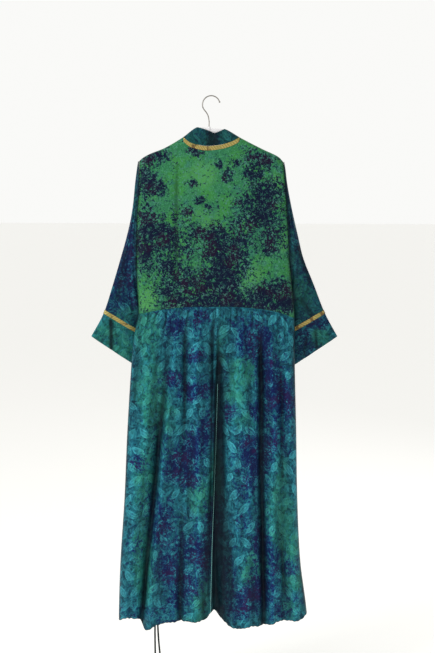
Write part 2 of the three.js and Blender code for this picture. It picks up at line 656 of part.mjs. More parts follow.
function hangerHook() {
  const centre = HOOK.wire - HOOK.bend;
  const arc = evenly(9, 205, HOOK.end).map((degrees) => {
    const a = THREE.MathUtils.degToRad(degrees);
    return [HOOK.bend * Math.cos(a), 0, centre + HOOK.bend * Math.sin(a)];
  });
  const x = HANGER.hubX;
  const stem = [[x, 0, HOOK.seat + SEAM], [x, 0, -82], [x, 0, HOOK.stemTop]];
  stem.push([x - 3, 0, -51], [x - 8.5, 0, -42]);
  const wire = solid(rod([...stem, ...arc], HOOK.wire, FINE.hook));
  const ball = new THREE.SphereGeometry(HOOK.ball, 10, 6).translate(...arc[arc.length - 1]);
  return fromSolid(wire.add(solid(ball)));
}

function tieTail(tie) {
  const points = TIE_DOWN.map((share, i) => [tie.x[i], TIE_Y[i], mix(TIE_TOP, tie.end, share)]);
  return rod(points, TIE.radius, FINE.tail);
}

function tieKnot(tie) {
  const high = TIE.knot * 1.2;
  const geometry = new THREE.SphereGeometry(TIE.knot, 10, 8).scale(1, 0.9, 1.2);
  return geometry.translate(tie.x.at(-1), TIE_Y.at(-1), tie.end - high - SEAM);
}

// ---------- the part ----------
const part = new THREE.Group();

function add(name, geometry, look) {
  const mesh = new THREE.Mesh(geometry, new THREE.MeshStandardMaterial(COLOURS[look]));
  mesh.name = name;
  part.add(mesh);
}

add("hanger_body", hangerBody(), "plastic");
add("hanger_hook", hangerHook(), "wire");
add("bodice_back", bodiceBack(), "silkYoke");
add("neck_ribbon", neckRibbon(), "ribbon");
add("collar", collar(), "silkPrint");
for (const hand of ["left", "right"]) {
  add("band_" + hand, band(hand), "silkPrint");
  add("bodice_front_" + hand, bodiceFront(hand), "silkYoke");
  add("skirt_back_" + hand, skirtBack(hand), "silkPrint");
  add("skirt_front_" + hand, skirtFront(hand), "silkPrint");
  add("sleeve_" + hand, sleeve(hand), "silkPrint");
  add("cuff_" + hand, cuff(hand), "silkPrint");
  add("cuff_ribbon_" + hand, cuffRibbon(hand), "ribbon");
}
for (const tie of TIES) {
  add(tie.name, tieTail(tie), "cord");
  add(tie.name.replace("tail", "knot"), tieKnot(tie), "cord");
}

export default part;
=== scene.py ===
import math

import bpy
import numpy as np
from mathutils import Matrix, Vector


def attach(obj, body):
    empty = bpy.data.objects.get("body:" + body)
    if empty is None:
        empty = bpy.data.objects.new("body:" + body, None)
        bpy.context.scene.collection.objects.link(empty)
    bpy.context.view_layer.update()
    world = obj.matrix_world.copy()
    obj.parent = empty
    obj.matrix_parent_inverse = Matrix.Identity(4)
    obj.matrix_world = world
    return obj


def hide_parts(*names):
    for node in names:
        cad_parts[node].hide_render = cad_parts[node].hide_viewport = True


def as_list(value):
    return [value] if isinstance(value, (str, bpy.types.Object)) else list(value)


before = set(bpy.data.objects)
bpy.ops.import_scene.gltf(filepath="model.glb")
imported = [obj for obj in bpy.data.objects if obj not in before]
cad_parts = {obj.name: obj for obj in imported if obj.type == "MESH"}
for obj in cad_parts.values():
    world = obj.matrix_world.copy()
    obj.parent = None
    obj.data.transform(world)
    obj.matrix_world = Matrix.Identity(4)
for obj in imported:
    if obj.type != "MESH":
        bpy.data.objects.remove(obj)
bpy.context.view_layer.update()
MM = 0.001
TURN = 2 * math.pi

# ---------- sizes and lines, as in the solids ----------
CLOTH = 1.0  # the cloth's wall as dressed
BAND = 1.8
RIBBON = 0.7
SEAM = 0.3
FOLD_OVER = 9
SIDE_TURN = 22
UNDERARM = -440
SHOULDER_END = -176
ARMHOLE_HALF = 9
NECK_HALF = 0.39
CREASE = {"x": 6, "low": 34, "high": 4, "deep": 3}
ON_CLOTH = CLOTH / 2 + SEAM + RIBBON / 2  # from the cloth to the middle of its ribbon
TOP_STEP = 4
TOP_ROWS = 4
TO_UNDERARM = [0.27, 0.54, 0.78, 0.92, 1]
TO_WAIST = [0.34, 0.67, 1]
BODICE_ROWS = TOP_ROWS + len(TO_UNDERARM) + len(TO_WAIST)
FRONT_ROWS = 11
SLEEVE_HALF = 8
SLEEVE_FOLD = 1.4
SLEEVE_TOP = 3
CUFF_GAP = 0.005
RIBBON_SHARE = 0.068
HANGER = {"from": -193, "to": 193, "thick": 8, "high": 15, "below": 1.9, "hub_x": -6, "hub_r": 5}
HOOK = {"wire": 1.6, "bend": 24, "stem_top": -64, "end": 18, "ball": 2.4, "seat": -97}
LEFT, RIGHT = 1, 2
HAND = {"left": LEFT, "right": RIGHT}
SIGN = {"left": -1, "right": 1}

BODY = [  # z, left, right, depth of the back, depth of the front
    (-176, -198, 199, 10, 10), (-260, -199, 205.5, 11, 10), (-340, -205, 212, 12, 11),
    (-440, -207, 219, 13, 12), (-520, -206, 228, 15, 14), (-597, -203, 236, 17, 15),
    (-665, -217, 238.5, 19, 16), (-750, -225, 240, 20, 16), (-940, -238, 247, 21, 17),
    (-1135, -248, 253, 22, 18), (-1330, -262, 265, 23, 19), (-1475, -268, 285, 23, 20),
    (-1540, -268, 288, 23, 20),
]
SHOULDER = [  # x, z
    (-198, -176), (-188, -167), (-168, -156), (-127, -139.5), (-76.9, -110.5), (-38, -83.5), (0, -84),
    (37, -88), (77.9, -110), (140, -141), (176, -157), (189, -165), (199, -176),
]
NECK = [
    (-76.9, -110.5), (-58, -124.5), (-36, -131), (-17, -134), (2, -133.5), (30, -129.5), (57, -121),
    (77.9, -110),
]
COLLAR_TOP = [(-38, -83.5), (-17, -89.5), (-1, -95), (6, -99), (16, -97), (37, -88)]
WAIST = [
    (-203, -598), (-138, -585.5), (-67, -578), (10, -577), (82, -578), (149, -585), (195, -594.5),
    (236, -610),
]
HEM_BACK = [
    (-268, -1506), (-250, -1493), (-225, -1492), (-206, -1500), (-192, -1526), (-178, -1524),
    (-160, -1514), (-110, -1506), (-40, -1503), (-12, -1498), (0, -1479), (14, -1477), (28, -1495),
    (43, -1508), (60, -1521), (119, -1522), (157, -1521), (195, -1508), (240, -1504), (268, -1500),
    (287, -1488),
]
HEM_FRONT = [(-268, -1506), (-210, -1500), (-12, -1492), (32, -1490), (210, -1494), (287, -1488)]
BACK_SEAM = [(-577, 14), (-750, 20), (-960, 16), (-1260, 6), (-1480, 1)]  # z, x
SEAM_OF, FREE_OF = {"left": 1, "right": 3}, {"left": 2, "right": 4}
FRONT_EDGE = [  # z, left seam, left free edge, right seam, right free edge
    (-83.5, -80, -38, 81, 37), (-110.5, -76.9, -36, 77.9, 36), (-200, -74, -26, 75, 27),
    (-300, -66, -16, 67, 18), (-400, -57, -7, 61, 11), (-597, -50, 0, 60, 10), (-1500, -62, -12, 82, 32),
]
FOLDS_BACK = [  # x0, z0, x1, z1, left, right, rise, grow, ends
    (-97, -180, -100, -560, 16, 12, -2.5, 90, 1), (-60, -200, -66, -575, 30, 34, 2.5, 120, 1),
    (95, -220, 120, -575, 44, 36, 3, 120, 1), (-165, -585, -232, -1500, 40, 36, 7, 300, 0),
    (-106, -585, -200, -1500, 26, 13, -14, 420, 0), (-90, -578, -178, -1500, 13, 48, 11, 420, 0),
    (-70, -578, -88, -1500, 15, 15, -7, 160, 0), (-34, -578, -42, -1500, 28, 24, 8, 200, 0),
    (16, -590, 18, -1500, 30, 42, -19, 240, 0), (14, -590, 1, -1500, 7, 9, 9, 160, 0),
    (84, -578, 82, -1500, 32, 44, 13, 300, 0), (137, -585, 158, -1500, 17, 20, -14, 160, 0),
    (172, -590, 186, -1500, 18, 17, 8, 200, 0), (196, -600, 216, -1500, 13, 15, -7, 200, 0),
    (216, -600, 250, -1500, 20, 24, 6, 300, 0),
]
FOLDS_FRONT = [
    (-120, -250, -110, -575, 36, 30, 2.5, 120, 1), (130, -250, 138, -575, 34, 34, 2.5, 120, 1),
    (-180, -590, -215, -1500, 32, 32, 5, 700, 0), (-120, -590, -132, -1500, 22, 22, -5, 500, 0),
    (-85, -585, -96, -1500, 24, 22, 8, 400, 0), (98, -585, 122, -1500, 24, 24, 9, 400, 0),
    (140, -590, 165, -1500, 20, 20, -6, 500, 0), (190, -595, 222, -1500, 28, 28, 5, 700, 0),
]
LEAN = {"left": (0.45, 0.26), "right": (0.5, 0.5)}
SLEEVE_OUTER = [  # z, left, right, y
    (-176, -200.8, 201.8, 0), (-195, -204, 205.5, 0.5), (-235, -209.5, 211, 1), (-290, -215.5, 222, 2.5),
    (-335, -223, 232.5, 4), (-382, -234.5, 244.5, 7), (-442, -252, 260.5, 11), (-515, -274.5, 291, 15),
    (-600, -303, 326, 18), (-668, -340, 364, 20),
]
SLEEVE_ROWS = [  # place, left, right, outer z, y, z
    (0, -200, 201, -176.3, 0, -176), (0.5, -202, 210, -286, 0, -308), (1, -207, 219, -404, 0, -440),
    (1.15, -208, 223, -434, 9, -470), (1.35, -200, 219, -474, 23, -518), (1.6, -177, 193, -524, 34, -590),
    (1.8, -150, 168, -562, 39, -652), (2, -121, 140, -600, 41, -713), (3, -163, 188, -666, 42, -789),
]
TIES = {
    "outer": ([-164, -164, -163, -162, -163, -162], -1668),
    "inner": ([-156, -156, -157, -156, -152, -141], -1690),
}
TIE_Y = [11.6, 9, 8, 8, 7, 6]
TIE_DOWN = [0, 0.16, 0.47, 0.8, 0.9, 1]
TIE_TOP = -592
TIE_RADIUS = 2.5
NECK_COLUMNS = [0, 0.006, 0.02, 0.05, 0.11, 0.19, 0.28, 0.37, 0.44, 0.5]
SLEEVE_COLUMNS = [-1, -0.94, -0.82, -0.6, -0.35, -0.15, -0.04, 0]

# ---------- stains of the dye, as soft spots: x, z, half width, half height, strength ----------
YOKE_DARK = [
    (-159, -162, 40, 20, 0.95), (-179, -235, 28, 40, 0.95), (-141, -246, 17, 20, 0.8),
    (-42, -148, 20, 14, 0.95), (21, -182, 11, 11, 0.8), (45, -212, 14, 18, 0.85),
    (68, -177, 14, 11, 0.75), (136, -172, 45, 14, 0.85), (115, -204, 23, 17, 0.9),
    (151, -258, 40, 31, 0.85), (91, -289, 25, 17, 0.75), (146, -308, 31, 23, 0.9),
    (119, -335, 42, 20, 0.75), (172, -371, 23, 20, 0.7), (165, -410, 23, 23, 0.75), (16, -393, 25, 37, 1),
    (31, -449, 25, 37, 1), (-31, -366, 28, 17, 0.75), (75, -390, 28, 40, 0.7), (81, -448, 23, 28, 0.7),
    (-155, -372, 40, 40, 0.85), (-180, -328, 20, 28, 0.7), (-111, -391, 20, 31, 0.75),
    (-183, -424, 23, 45, 0.95), (-128, -457, 23, 17, 0.75), (-92, -482, 40, 17, 0.65),
    (-16, -507, 45, 23, 0.9), (45, -499, 37, 28, 0.95), (-103, -530, 40, 23, 0.7),
    (-30, -555, 45, 20, 0.8), (45, -558, 42, 23, 0.85), (140, -549, 45, 23, 0.8),
    (191, -529, 40, 28, 0.85), (202, -574, 31, 23, 0.95), (-64, -314, 14, 11, 0.8),
    (-49, -235, 10, 11, 0.8), (-28, -281, 14, 11, 0.85), (-4, -300, 10, 8, 0.7), (-86, -325, 23, 23, 0.5),
    (208, -348, 17, 71, 0.35), (-72, -418, 28, 40, 0.3), (106, -145, 28, 11, 0.5),
    (-125, -440, 70, 85, 0.28), (150, -300, 60, 110, 0.35), (20, -530, 190, 50, 0.26),
    (30, -430, 80, 80, 0.3),
    (-122, -572, 30, 11, 0.5), (-55, -574, 65, 15, 0.7), (42, -572, 75, 17, 0.8), (143, -572, 67, 17, 0.7),
    (208, -565, 39, 22, 0.7), (-6, -474, 22, 60, 0.4),
]
YOKE_LIME = [
    (-176, -558, 25, 31, 1), (120, -488, 23, 20, 0.9), (95, -524, 25, 17, 0.7), (-17, -322, 40, 25, 0.6),
    (-22, -205, 40, 34, 0.6), (181, -239, 17, 34, 0.7), (200, -390, 14, 40, 0.7),
    (-31, -234, 57, 40, 0.4), (-168, -273, 25, 14, 0.5), (142, -454, 28, 17, 0.4),
    (-96, -167, 23, 23, 0.4), (-8, -357, 25, 14, 0.7),
]
PRINT_DARK = [
    (-100, -631, 25, 28, 0.75), (-28, -606, 23, 23, 0.8), (62, -620, 11, 11, 0.6),
    (-47, -716, 34, 20, 0.75), (-106, -780, 25, 23, 0.7), (-58, -820, 28, 23, 0.75),
    (-10, -814, 23, 20, 0.6), (102, -660, 28, 40, 0.7), (111, -705, 23, 23, 0.7),
    (150, -671, 20, 40, 0.7), (154, -763, 25, 51, 0.75), (186, -820, 25, 45, 0.8),
    (212, -850, 28, 40, 0.85), (52, -878, 20, 20, 0.7), (135, -878, 25, 28, 0.7),
    (-70, -1004, 34, 28, 0.75), (-42, -969, 25, 25, 0.7), (-93, -1048, 34, 34, 0.8),
    (-13, -916, 20, 40, 0.6), (-53, -1078, 28, 28, 0.75), (-207, -1024, 23, 25, 0.7),
    (113, -975, 31, 34, 0.7), (125, -1034, 28, 40, 0.7), (100, -1108, 25, 28, 0.6),
    (-128, -1167, 28, 34, 0.6), (-146, -1227, 31, 40, 0.7), (-59, -1282, 42, 34, 0.75),
    (-126, -1343, 34, 34, 0.8), (-68, -1395, 40, 34, 0.75), (-15, -1319, 20, 45, 0.7),
    (11, -1198, 20, 74, 0.7), (-174, -1137, 23, 40, 0.5), (-94, -1441, 28, 23, 0.6),
    (-112, -1509, 34, 17, 0.55), (95, -1198, 23, 40, 0.5), (151, -1274, 25, 40, 0.7),
    (186, -1320, 23, 40, 0.65), (233, -1336, 23, 28, 0.6), (117, -1427, 40, 34, 0.75),
    (152, -1397, 28, 28, 0.8), (94, -1473, 34, 23, 0.6), (206, -1480, 28, 20, 0.5),
    (52, -1365, 20, 85, 0.55), (-218, -1272, 20, 34, 0.5), (213, -961, 23, 34, 0.6),
    (170, -961, 17, 57, 0.6), (-144, -960, 23, 45, 0.4),
    (-7, -926, 39, 39, 0.4), (-41, -967, 45, 39, 0.4), (-82, -1014, 50, 45, 0.4),
    (-102, -1304, 56, 101, 0.35),
    (-21, -1259, 28, 84, 0.3), (186, -801, 45, 101, 0.4), (114, -1005, 50, 67, 0.35),
    (152, -1407, 67, 62, 0.35),
    (-59, -803, 78, 34, 0.35), (-75, -629, 78, 56, 0.25), (144, -643, 50, 78, 0.25),
    (137, -1306, 28, 101, 0.3),
    (-176, -1476, 101, 22, 0.4), (221, -1460, 62, 28, 0.35), (76, -1469, 39, 28, 0.4),
    (149, -1140, 20, 168, 0.3),
]
PRINT_GREEN = [
    (-182, -642, 31, 51, 0.9), (-172, -800, 37, 85, 0.58), (92, -763, 31, 37, 0.9), (72, -829, 25, 25, 0.6),
    (-144, -901, 40, 68, 0.48), (95, -902, 25, 34, 0.4), (-24, -1126, 34, 51, 0.7), (16, -1072, 14, 85, 0.7),
    (140, -1326, 31, 34, 0.9), (116, -1366, 23, 23, 0.8), (-195, -1318, 28, 110, 0.65),
    (204, -1139, 25, 113, 0.6), (232, -1290, 26, 120, 0.5), (249, -1388, 17, 17, 0.9),
    (241, -1475, 25, 25, 0.4),
    (-27, -1442, 28, 57, 0.5), (-59, -1503, 45, 14, 0.3), (-188, -1077, 28, 90, 0.65),
    (32, -671, 14, 57, 0.4), (167, -1199, 17, 57, 0.4), (12, -1510, 11, 28, 0.5),
]
SLEEVE_DARK = [
    (-230, -186, 17, 40, 0.8), (-254, -420, 28, 74, 0.85), (-278, -490, 34, 40, 0.7),
    (-233, -533, 23, 40, 0.6), (-279, -575, 28, 23, 0.6), (-236, -400, 20, 100, 0.9),
    (250, -391, 17, 57, 0.6),
    (274, -453, 14, 40, 0.7), (298, -509, 17, 23, 0.6), (215, -280, 11, 71, 0.6), (239, -349, 11, 34, 0.4),
    (306, -624, 34, 20, 0.8), (264, -670, 25, 23, 0.8), (307, -710, 25, 17, 0.6), (256, -719, 25, 25, 0.5),
]
SLEEVE_GREEN = [
    (-214, -295, 11, 40, 0.5), (-242, -612, 40, 23, 0.5), (-300, -675, 34, 28, 0.8),
    (-258, -710, 34, 25, 0.6), (312, -670, 23, 23, 0.8), (341, -690, 17, 14, 0.5), (253, -532, 23, 28, 0.3),
]

PAINTED_HOLLOW_SHADE = [  # broad places of the skirt's back that get painted shade: colour only, no shape is dipped here
    (2, -700, 17, 90, 0.5), (16, -930, 20, 130, 0.35), (28, -1180, 24, 130, 0.5), (34, -1400, 38, 140, 0.7),
    (-128, -1000, 12, 260, 0.3), (-160, -1350, 13, 150, 0.35), (-68, -760, 11, 140, 0.3),
    (-16, -1330, 11, 160, 0.4),
]
SLEEVE_CREASE_SHADE = [  # small creases, drawn as painted shade in colour only: from, to, width, strength
    (-283, -622, -283, -700, 6, 0.9), (-274, -640, -262, -690, 6, 0.3), (242, -407, 283, -516, 6, 0.3),
    (262, -560, 292, -612, 7, 0.3), (-238, -420, -262, -560, 7, 0.3), (-300, -660, -322, -700, 5, 0.3),
    (300, -650, 306, -716, 5, 0.4), (274, -668, 268, -728, 4, 0.3),
]
# creases of the bodice's back, drawn as painted shade in colour only: from, to, width, strength
YOKE_CREASE_SHADE = [
    (-94, -186, -94, -446, 7, 0.4), (-92, -446, -100, -560, 9, 0.25), (120, -200, 138, -540, 9, 0.25),
    (10, -170, 4, -420, 6, 0.15),
]


# ---------- camera, first of all ----------
CAMERA_AT = (-0.0455, -2.541, -0.2837)
CAMERA_TURNS = (-1.46, 7.87, -0.21)  # degrees: aside, down and about its own view


def make_camera():
    turns = [(math.cos(a), math.sin(a)) for a in np.radians(CAMERA_TURNS)]
    (ct, st), (cp, sp), (cr, sr) = turns
    aside = np.array([[ct, -st, 0], [st, ct, 0], [0, 0, 1]])
    down = np.array([[1, 0, 0], [0, cp, sp], [0, -sp, cp]])
    about = np.array([[cr, 0, sr], [0, 1, 0], [-sr, 0, cr]])
    axes = aside @ down @ about
    data = bpy.data.cameras.new("camera")
    data.lens = 50
    data.clip_start = 0.05
    camera = bpy.data.objects.new("camera", data)
    place = Matrix.Identity(4)
    for i in range(3):
        place[i][0] = axes[i, 0]
        place[i][1] = axes[i, 2]
        place[i][2] = -axes[i, 1]
        place[i][3] = CAMERA_AT[i]
    camera.matrix_world = place
    bpy.context.scene.collection.objects.link(camera)
    bpy.context.scene.camera = camera


make_camera()


# ---------- lines and surfaces ----------
def mix(a, b, t):
    return a + (b - a) * t


def clamp01(t):
    return np.clip(t, 0, 1)


def ease(t):
    return clamp01(t) ** 2 * (3 - 2 * clamp01(t))


def read(table, column, at):
    """A column of a table at places in its first column, on a smooth line through its rows."""
    rows = np.array(table, float)
    if rows[0, 0] > rows[-1, 0]:
        rows = rows[::-1]
    x, y = rows[:, 0], rows[:, column]
    count = np.arange(len(x))
    above, below = np.minimum(count + 1, len(x) - 1), np.maximum(count - 1, 0)
    slope = (y[above] - y[below]) / (x[above] - x[below])
    at = np.clip(at, x[0], x[-1])
    i = np.clip(np.searchsorted(x, at, "right") - 1, 0, len(x) - 2)
    step = x[i + 1] - x[i]
    t = (at - x[i]) / step
    ends = y[i] * (1 + 2 * t) * (1 - t) ** 2 + y[i + 1] * t * t * (3 - 2 * t)
    return ends + slope[i] * step * t * (1 - t) ** 2 + slope[i + 1] * step * t * t * (t - 1)


def shoulder(x):
    return read(SHOULDER, 1, x)


def folds(table, x, z):
    rise = 0
    for x0, z0, x1, z1, left, right, high, grow, ends in table:
        down = (z0 - z) / (z0 - z1)
        off = x - mix(x0, x1, np.maximum(down, 0))
        share = np.minimum(np.abs(off) / np.where(off < 0, left, right), 1)
        end = ease((z - z1) / grow) if ends else 1
        rise = rise + high * ease((z0 - z) / grow) * end * 0.5 * (1 + np.cos(math.pi * share))
    return rise


def spots(table, x, z):
    """How strongly a point lies in a table's soft spots, from 0 to 1."""
    free = 1
    for cx, cz, rx, rz, strength in table:
        far = ((x - cx) / (1.25 * rx)) ** 2 + ((z - cz) / (1.25 * rz)) ** 2
        free = free * (1 - strength * np.exp(-(far**1.5)))
    return 1 - free


def armhole(z):
    share = clamp01((SHOULDER_END - z) / (SHOULDER_END - UNDERARM))
    return ARMHOLE_HALF * (4 * share * (1 - share)) ** 0.25


WAVES = [  # length across, length down, phase, height: small folds that wander down the skirt
    (61, 900, 0.4, 1.5), (43, -640, 2.1, 1.3), (29, 510, 4.4, 0.8), (19, -380, 1.3, 0.45),
    (13, 300, 5.2, 0.25),
]
GATHERS = [(23, 0.3, 1.5), (15.5, 1.9, 1.2), (10.3, 4.0, 0.8), (7.4, 2.6, 0.4)]
CREASES = [(150, 62, 0.6, 0.5), (-118, 83, 2.9, 0.45), (74, 140, 5.0, 0.3)]


def small_folds(face, x, z):
    """Gathers below the waist, small folds and soft creases, on top of the main folds."""
    left, right = read(BODY, LEFT, z), read(BODY, RIGHT, z)
    across = (x - left) / (right - left) * 450 + (0 if face < 0 else 137)
    below = read(WAIST, 1, x) - z
    wide = sum(
        high * np.cos(TURN * (across / length + below / down) + phase)
        for length, down, phase, high in WAVES
    )
    tucks = sum(high * np.cos(TURN * across / length + phase) for length, phase, high in GATHERS)
    creases = sum(
        high * np.cos(TURN * (x / a + z / b) + phase) for a, b, phase, high in CREASES
    )
    on_skirt = ease(below / 12)
    skirt = wide * ease(below / 140) + tucks * ease(below / 10) * np.exp(-np.maximum(below, 0) / 90)
    above = np.maximum(-below, 0)
    bodice = 0.35 * creases * ease(above / 60) + 0.5 * tucks * np.exp(-above / 22) * ease(above / 5)
    blouse = 1.6 * np.exp(-(((above - 16) / 13) ** 2)) * (1 - on_skirt)
    groove = -1.3 * np.exp(-((below / 3.5) ** 2))
    return skirt * on_skirt + bodice * (1 - on_skirt) + blouse + groove


def painted_fold_shade(face, x, z):
    """How much painted shade a point gets for the fold it lies in, to 1, or painted highlight on a ridge, to
    -1, with painted shade along the panel's sides and, on the back, in the listed hollows. Moves no point.
    """
    main = folds(FOLDS_BACK if face < 0 else FOLDS_FRONT, x, z)
    small = small_folds(face, x, z)
    in_from_edge = np.maximum(0, np.minimum(x - read(BODY, LEFT, z), read(BODY, RIGHT, z) - x))
    deep = 1 - (1 - 0.85 * clamp01(-main / 12)) * (1 - 0.45 * clamp01(-small / 2.4))
    # painted shade along the panel's sides
    deep = 1 - (1 - deep) * (1 - 0.6 * np.exp(-((in_from_edge / 5) ** 2)))
    # painted shade in the back's listed hollows
    deep = 1 - (1 - deep) * (1 - spots(PAINTED_HOLLOW_SHADE, x, z)) if face < 0 else deep
    # painted highlight on the folds' ridges
    high = clamp01(main / 9) * 0.6 + clamp01(small / 2.4) * 0.4
    return deep - high * (1 - deep)


def body(face, x, z):
    left, right = read(BODY, LEFT, z), read(BODY, RIGHT, z)
    depth = read(BODY, 3 if face < 0 else 4, z)
    in_from_edge = np.maximum(0, np.minimum(x - left, right - x))
    q = clamp01(in_from_edge / SIDE_TURN)
    lift = mix(ease(q), np.sqrt(1 - (1 - q) ** 2), ease((UNDERARM + 20 - z) / 30))
    over = clamp01((shoulder(x) - z) / FOLD_OVER)
    arch = np.sqrt(1 - (1 - over) ** 2)
    edge = armhole(z)
    fold = folds(FOLDS_BACK if face < 0 else FOLDS_FRONT, x, z) + small_folds(face, x, z)
    fold = fold * ease(in_from_edge / 34)
    y = edge + (arch * depth - edge) * lift + fold * ease((shoulder(x) - z) / 60)
    return np.stack(np.broadcast_arrays(x, face * (y + SEAM / 2), z), -1)


def arc_left(x, z_top):
    return FOLD_OVER * (math.pi / 2 - np.arccos(clamp01(1 - (shoulder(x) - z_top) / FOLD_OVER)))


def go_down(x, z_top, distance):
    """The height of the cloth at x after a distance along it from z_top."""
    arc = arc_left(x, z_top)
    angle = math.pi / 2 - (arc - distance) / FOLD_OVER
    on_arc = shoulder(x) - FOLD_OVER * (1 - np.cos(angle))
    past = np.where(arc > 0, shoulder(x) - FOLD_OVER, z_top) - (distance - arc)
    return np.where(distance >= arc, past, on_arc)


def row_height(row, x, z_top, z_end):
    first = go_down(x, z_top, TOP_ROWS * TOP_STEP)
    heights = [first, *(mix(first, UNDERARM, s) for s in TO_UNDERARM)]
    heights += [mix(UNDERARM, z_end, s) for s in TO_WAIST]
    heights = np.stack(np.broadcast_arrays(*heights))
    i = np.clip(np.floor(row).astype(int) - TOP_ROWS, 0, len(heights) - 2)
    i = np.broadcast_to(i, heights.shape[1:])
    upper = np.take_along_axis(heights, i[None], 0)[0]
    lower = np.take_along_axis(heights, i[None] + 1, 0)[0]
    return np.where(row <= TOP_ROWS, go_down(x, z_top, row * TOP_STEP), mix(upper, lower, row - TOP_ROWS - i))


def unit(v):
    return v / np.maximum(np.linalg.norm(v, axis=-1, keepdims=True), 1e-12)


def body_normal(face, x, z):
    step = 0.01
    below = shoulder(x) - z
    left, right = (body(face, x + d, shoulder(x + d) - below) for d in (-step, step))
    level = right - left
    down = body(face, x, go_down(x, z, step)) - body(face, x, z)
    return unit(np.cross(level, down)) * face


# ---------- meshes ----------
def cloth_map(p):
    """The place of each grid point on the flat cloth, in metres, from the grid's middle top."""
    across = np.cumsum(np.linalg.norm(np.diff(p, axis=1), axis=2), 1)
    across = np.pad(across, ((0, 0), (1, 0)))
    across -= across[:, [p.shape[1] // 2]]
    down = np.pad(np.cumsum(np.linalg.norm(np.diff(p, axis=0), axis=2), 0), ((1, 0), (0, 0)))
    return np.stack([across, -down], -1) * MM


def new_mesh(name, points, quads, flat=None, attributes=None, sharp=50):
    mesh = bpy.data.meshes.new(name)
    mesh.from_pydata((points * MM).tolist(), [], quads.tolist() if hasattr(quads, "tolist") else quads)
    mesh.polygons.foreach_set("use_smooth", [True] * len(mesh.polygons))
    if flat is not None:
        corners = np.empty(len(mesh.loops), int)
        mesh.loops.foreach_get("vertex_index", corners)
        mesh.uv_layers.new(name="cloth").data.foreach_set("uv", flat[corners].ravel())
    for key, values in (attributes or {}).items():
        mesh.attributes.new(key, "FLOAT", "POINT").data.foreach_set("value", values)
    mesh.update()
    if sharp:
        mesh.set_sharp_from_angle(angle=math.radians(sharp))
    piece = bpy.data.objects.new(name, mesh)
    bpy.context.scene.collection.objects.link(piece)
    return piece


def wall(name, at, normal_at, us, vs, thick, out=0, closed=None, stains=None, place=(0, 0)):
    """A closed wall about the surface at(u, v). From row `closed` on, its last column joins its first."""
    u, v = np.meshgrid(us, vs)
    p, n = at(u, v), normal_at(u, v)
    rows, cols = u.shape
    closed = rows + 1 if closed is None else closed
    ids = np.arange(rows * cols).reshape(rows, cols)
    a, b, c, d = ids[:-1, :-1], ids[:-1, 1:], ids[1:, 1:], ids[1:, :-1]
    sheet = np.stack([a, b, c, d], -1).reshape(-1, 4)
    joined = ids[closed:]
    last, first = joined[:, -1], joined[:, 0]
    lap = np.stack([last[:-1], first[:-1], first[1:], last[1:]], -1).reshape(-1, 4)
    sheet = np.concatenate([sheet, lap]) if len(joined) > 1 else sheet
    j, i = rows // 2, cols // 2
    facing = np.cross(p[j, i + 1] - p[j, i], p[j + 1, i] - p[j, i]) @ n[j, i] > 0
    sheet = sheet if facing else sheet[:, ::-1]
    count = rows * cols
    edges = {}
    for q in sheet.tolist():
        for s, t in zip(q, q[1:] + q[:1]):
            if (t, s) in edges:
                del edges[(t, s)]
            else:
                edges[(s, t)] = True
    rim = np.array([(t, s, s + count, t + count) for s, t in edges])
    quads = np.concatenate([sheet, sheet[:, ::-1] + count, rim])
    outer = (p + n * (out + thick / 2)).reshape(-1, 3)
    inner = (p + n * (out - thick / 2)).reshape(-1, 3)
    flat = (cloth_map(p) + np.array(place)).reshape(-1, 2)
    attributes = None
    # colour masks per point: stains of the dye, and painted shade and highlight
    if stains:
        attributes = {key: np.tile(f(p[..., 0], p[..., 2]).ravel(), 2) for key, f in stains.items()}
    return new_mesh(name, np.concatenate([outer, inner]), quads, np.tile(flat, (2, 1)), attributes)


def finer(values, parts):
    """The values with each gap between them divided into parts."""
    parts = parts if hasattr(parts, "__len__") else [parts] * (len(values) - 1)
    out = [np.linspace(a, b, n, endpoint=False) for a, b, n in zip(values, values[1:], parts)]
    return np.concatenate([*out, [values[-1]]])


def evenly(n, start=0, end=1):
    return np.linspace(start, end, n + 1)


def circle(n):
    return np.arange(n) / n * TURN


def normal_of(face, p):
    return body_normal(face, p[..., 0], p[..., 2])


def body_wall(name, face, at, us, vs, thick, out=0, **more):
    return wall(name, at, lambda u, v: normal_of(face, at(u, v)), us, vs, thick, out, **more)


def sweep(name, points, radius, sides, squash=1, closed=False, cap=True):
    """A round bar along points, with a radius for each point if `radius` is a list."""
    points = np.array(points, float)
    radius = np.broadcast_to(radius, len(points))
    ahead, behind = np.roll(points, -1, 0), np.roll(points, 1, 0)
    if not closed:
        ahead[-1], behind[0] = points[-1], points[0]
    along = unit(ahead - behind)
    side = unit(np.cross(along[0], [0, 1, 0] if abs(along[0][1]) < 0.9 else [1, 0, 0]))
    rings = []
    angles = circle(sides)
    for k, direction in enumerate(along):
        side = unit(side - direction * (side @ direction))
        other = np.cross(direction, side)
        ring = np.outer(np.cos(angles), side) + np.outer(np.sin(angles) * squash, other)
        rings.append(points[k] + radius[k] * ring)
    count = len(points)
    ids = np.arange(count * sides).reshape(count, sides)
    nxt = np.roll(ids, -1, 1)
    lower = np.roll(ids, -1, 0) if closed else ids[1:]
    lower_next = np.roll(nxt, -1, 0) if closed else nxt[1:]
    here, here_next = (ids, nxt) if closed else (ids[:-1], nxt[:-1])
    quads = np.stack([here, here_next, lower_next, lower], -1).reshape(-1, 4).tolist()
    if cap and not closed:
        quads += [ids[0, ::-1].tolist(), ids[-1].tolist()]
    flat = np.stack(np.meshgrid(angles, np.arange(count)), -1).reshape(-1, 2)
    return new_mesh(name, np.concatenate(rings), quads, flat * MM)


